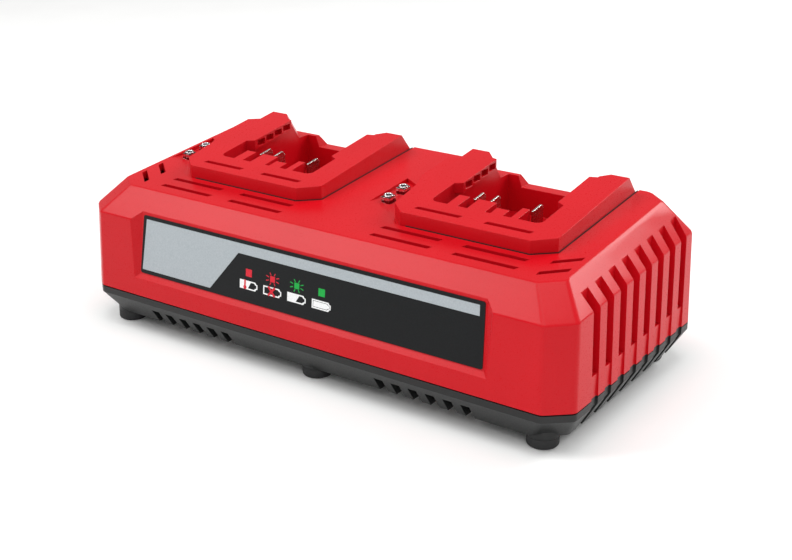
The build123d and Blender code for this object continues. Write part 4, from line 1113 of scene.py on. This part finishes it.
@dataclass
class Studio:
    """Pale floor, white surround, five soft boxes and the camera."""

    camera_at: tuple[float, float, float] = (0.31087, -0.44095, 0.24196)
    camera_azimuth: float = 34.56
    camera_elevation: float = 21.82
    lens_mm: float = 60.69
    sensor_mm: float = 36.0
    near_clip: float = 0.01
    aim: tuple[float, float, float] = (0.0, 0.0, 0.04)
    floor_half: float = 4.0
    floor_lines: int = 9
    surround: float = 0.41
    boxes: tuple[SoftBox, ...] = (
        SoftBox("box_front_left", (-0.75, -0.5, 1.1), 0.7, 10.0),
        SoftBox("box_back_right", (0.6, 1.1, 0.8), 0.6, 12.0),
        SoftBox("box_right", (1.1, -0.5, 0.55), 0.6, 1.4),
        SoftBox("box_fill", (0.5, -0.95, 0.6), 0.9, 1.6),
        SoftBox("box_top", (0.1, -0.15, 1.3), 0.8, 6.0),
    )

    def floor(self) -> None:
        """Lay the floor: a flat square grid on Z = 0."""
        steps = np.linspace(-self.floor_half, self.floor_half, self.floor_lines)
        x, y = np.meshgrid(steps, steps, indexing="ij")
        points = np.stack([x.ravel(), y.ravel(), np.zeros(x.size)], axis=1)
        cells = np.arange(self.floor_lines - 1)
        first = (cells[:, None] * self.floor_lines + cells).ravel()
        ahead = first + self.floor_lines
        faces = np.stack([first, ahead, ahead + 1, first + 1], axis=1)
        # White wall paint, rolled out flat: plain and pale, so that nothing competes.
        paint = PaintedFloor("painted_floor", "#FAFAF9", "#FCFCFB").build()
        floor = link_mesh("floor", points, faces.tolist(), paint)

    def light(self, box: SoftBox) -> None:
        """Hang one soft box aimed at the middle of the object.

        Args:
            box: The box to hang.
        """
        data = bpy.data.lights.new(box.name, "AREA")
        data.size = box.side
        data.energy = box.power
        lamp = bpy.data.objects.new(box.name, data)
        lamp.location = box.at
        way = Vector(self.aim) - Vector(box.at)
        lamp.rotation_euler = way.to_track_quat("-Z", "Y").to_euler()
        bpy.context.scene.collection.objects.link(lamp)

    def surround_light(self) -> None:
        """Set an even white surround."""
        world = bpy.data.worlds.new("surround")
        world.use_nodes = True
        background = world.node_tree.nodes["Background"]
        background.inputs["Color"].default_value = linear("#FFFFFF")
        background.inputs["Strength"].default_value = self.surround
        bpy.context.scene.world = world

    def camera(self) -> None:
        """Place the camera by its azimuth and elevation.

        It looks along (-cos e sin a, cos e cos a, -sin e), with a and e the two angles.
        """
        data = bpy.data.cameras.new("camera")
        data.lens = self.lens_mm
        data.sensor_fit = "HORIZONTAL"
        data.sensor_width = self.sensor_mm
        data.clip_start = self.near_clip
        camera = bpy.data.objects.new("camera", data)
        turn, tilt = math.radians(self.camera_azimuth), math.radians(self.camera_elevation)
        level = math.cos(tilt)
        ahead = Vector((-level * math.sin(turn), level * math.cos(turn), -math.sin(tilt)))
        camera.location = self.camera_at
        camera.rotation_euler = ahead.to_track_quat("-Z", "Y").to_euler()
        bpy.context.scene.collection.objects.link(camera)
        bpy.context.scene.camera = camera

    def build(self) -> None:
        """Make the whole studio."""
        bpy.context.scene.view_settings.view_transform = "Standard"
        self.camera()
        self.floor()
        self.surround_light()
        for box in self.boxes:
            self.light(box)


def main() -> None:
    """Build the studio, finishes, print, painted dock shade and painted lamp tops, in order."""
    logging.basicConfig(level=logging.INFO, format="%(name)s %(message)s")
    Studio().build()
    SoftEdges().build()
    LabelPrint().build()
    DockGapShades().build()
    LampTops().build()


if __name__ == "__main__":
    main()
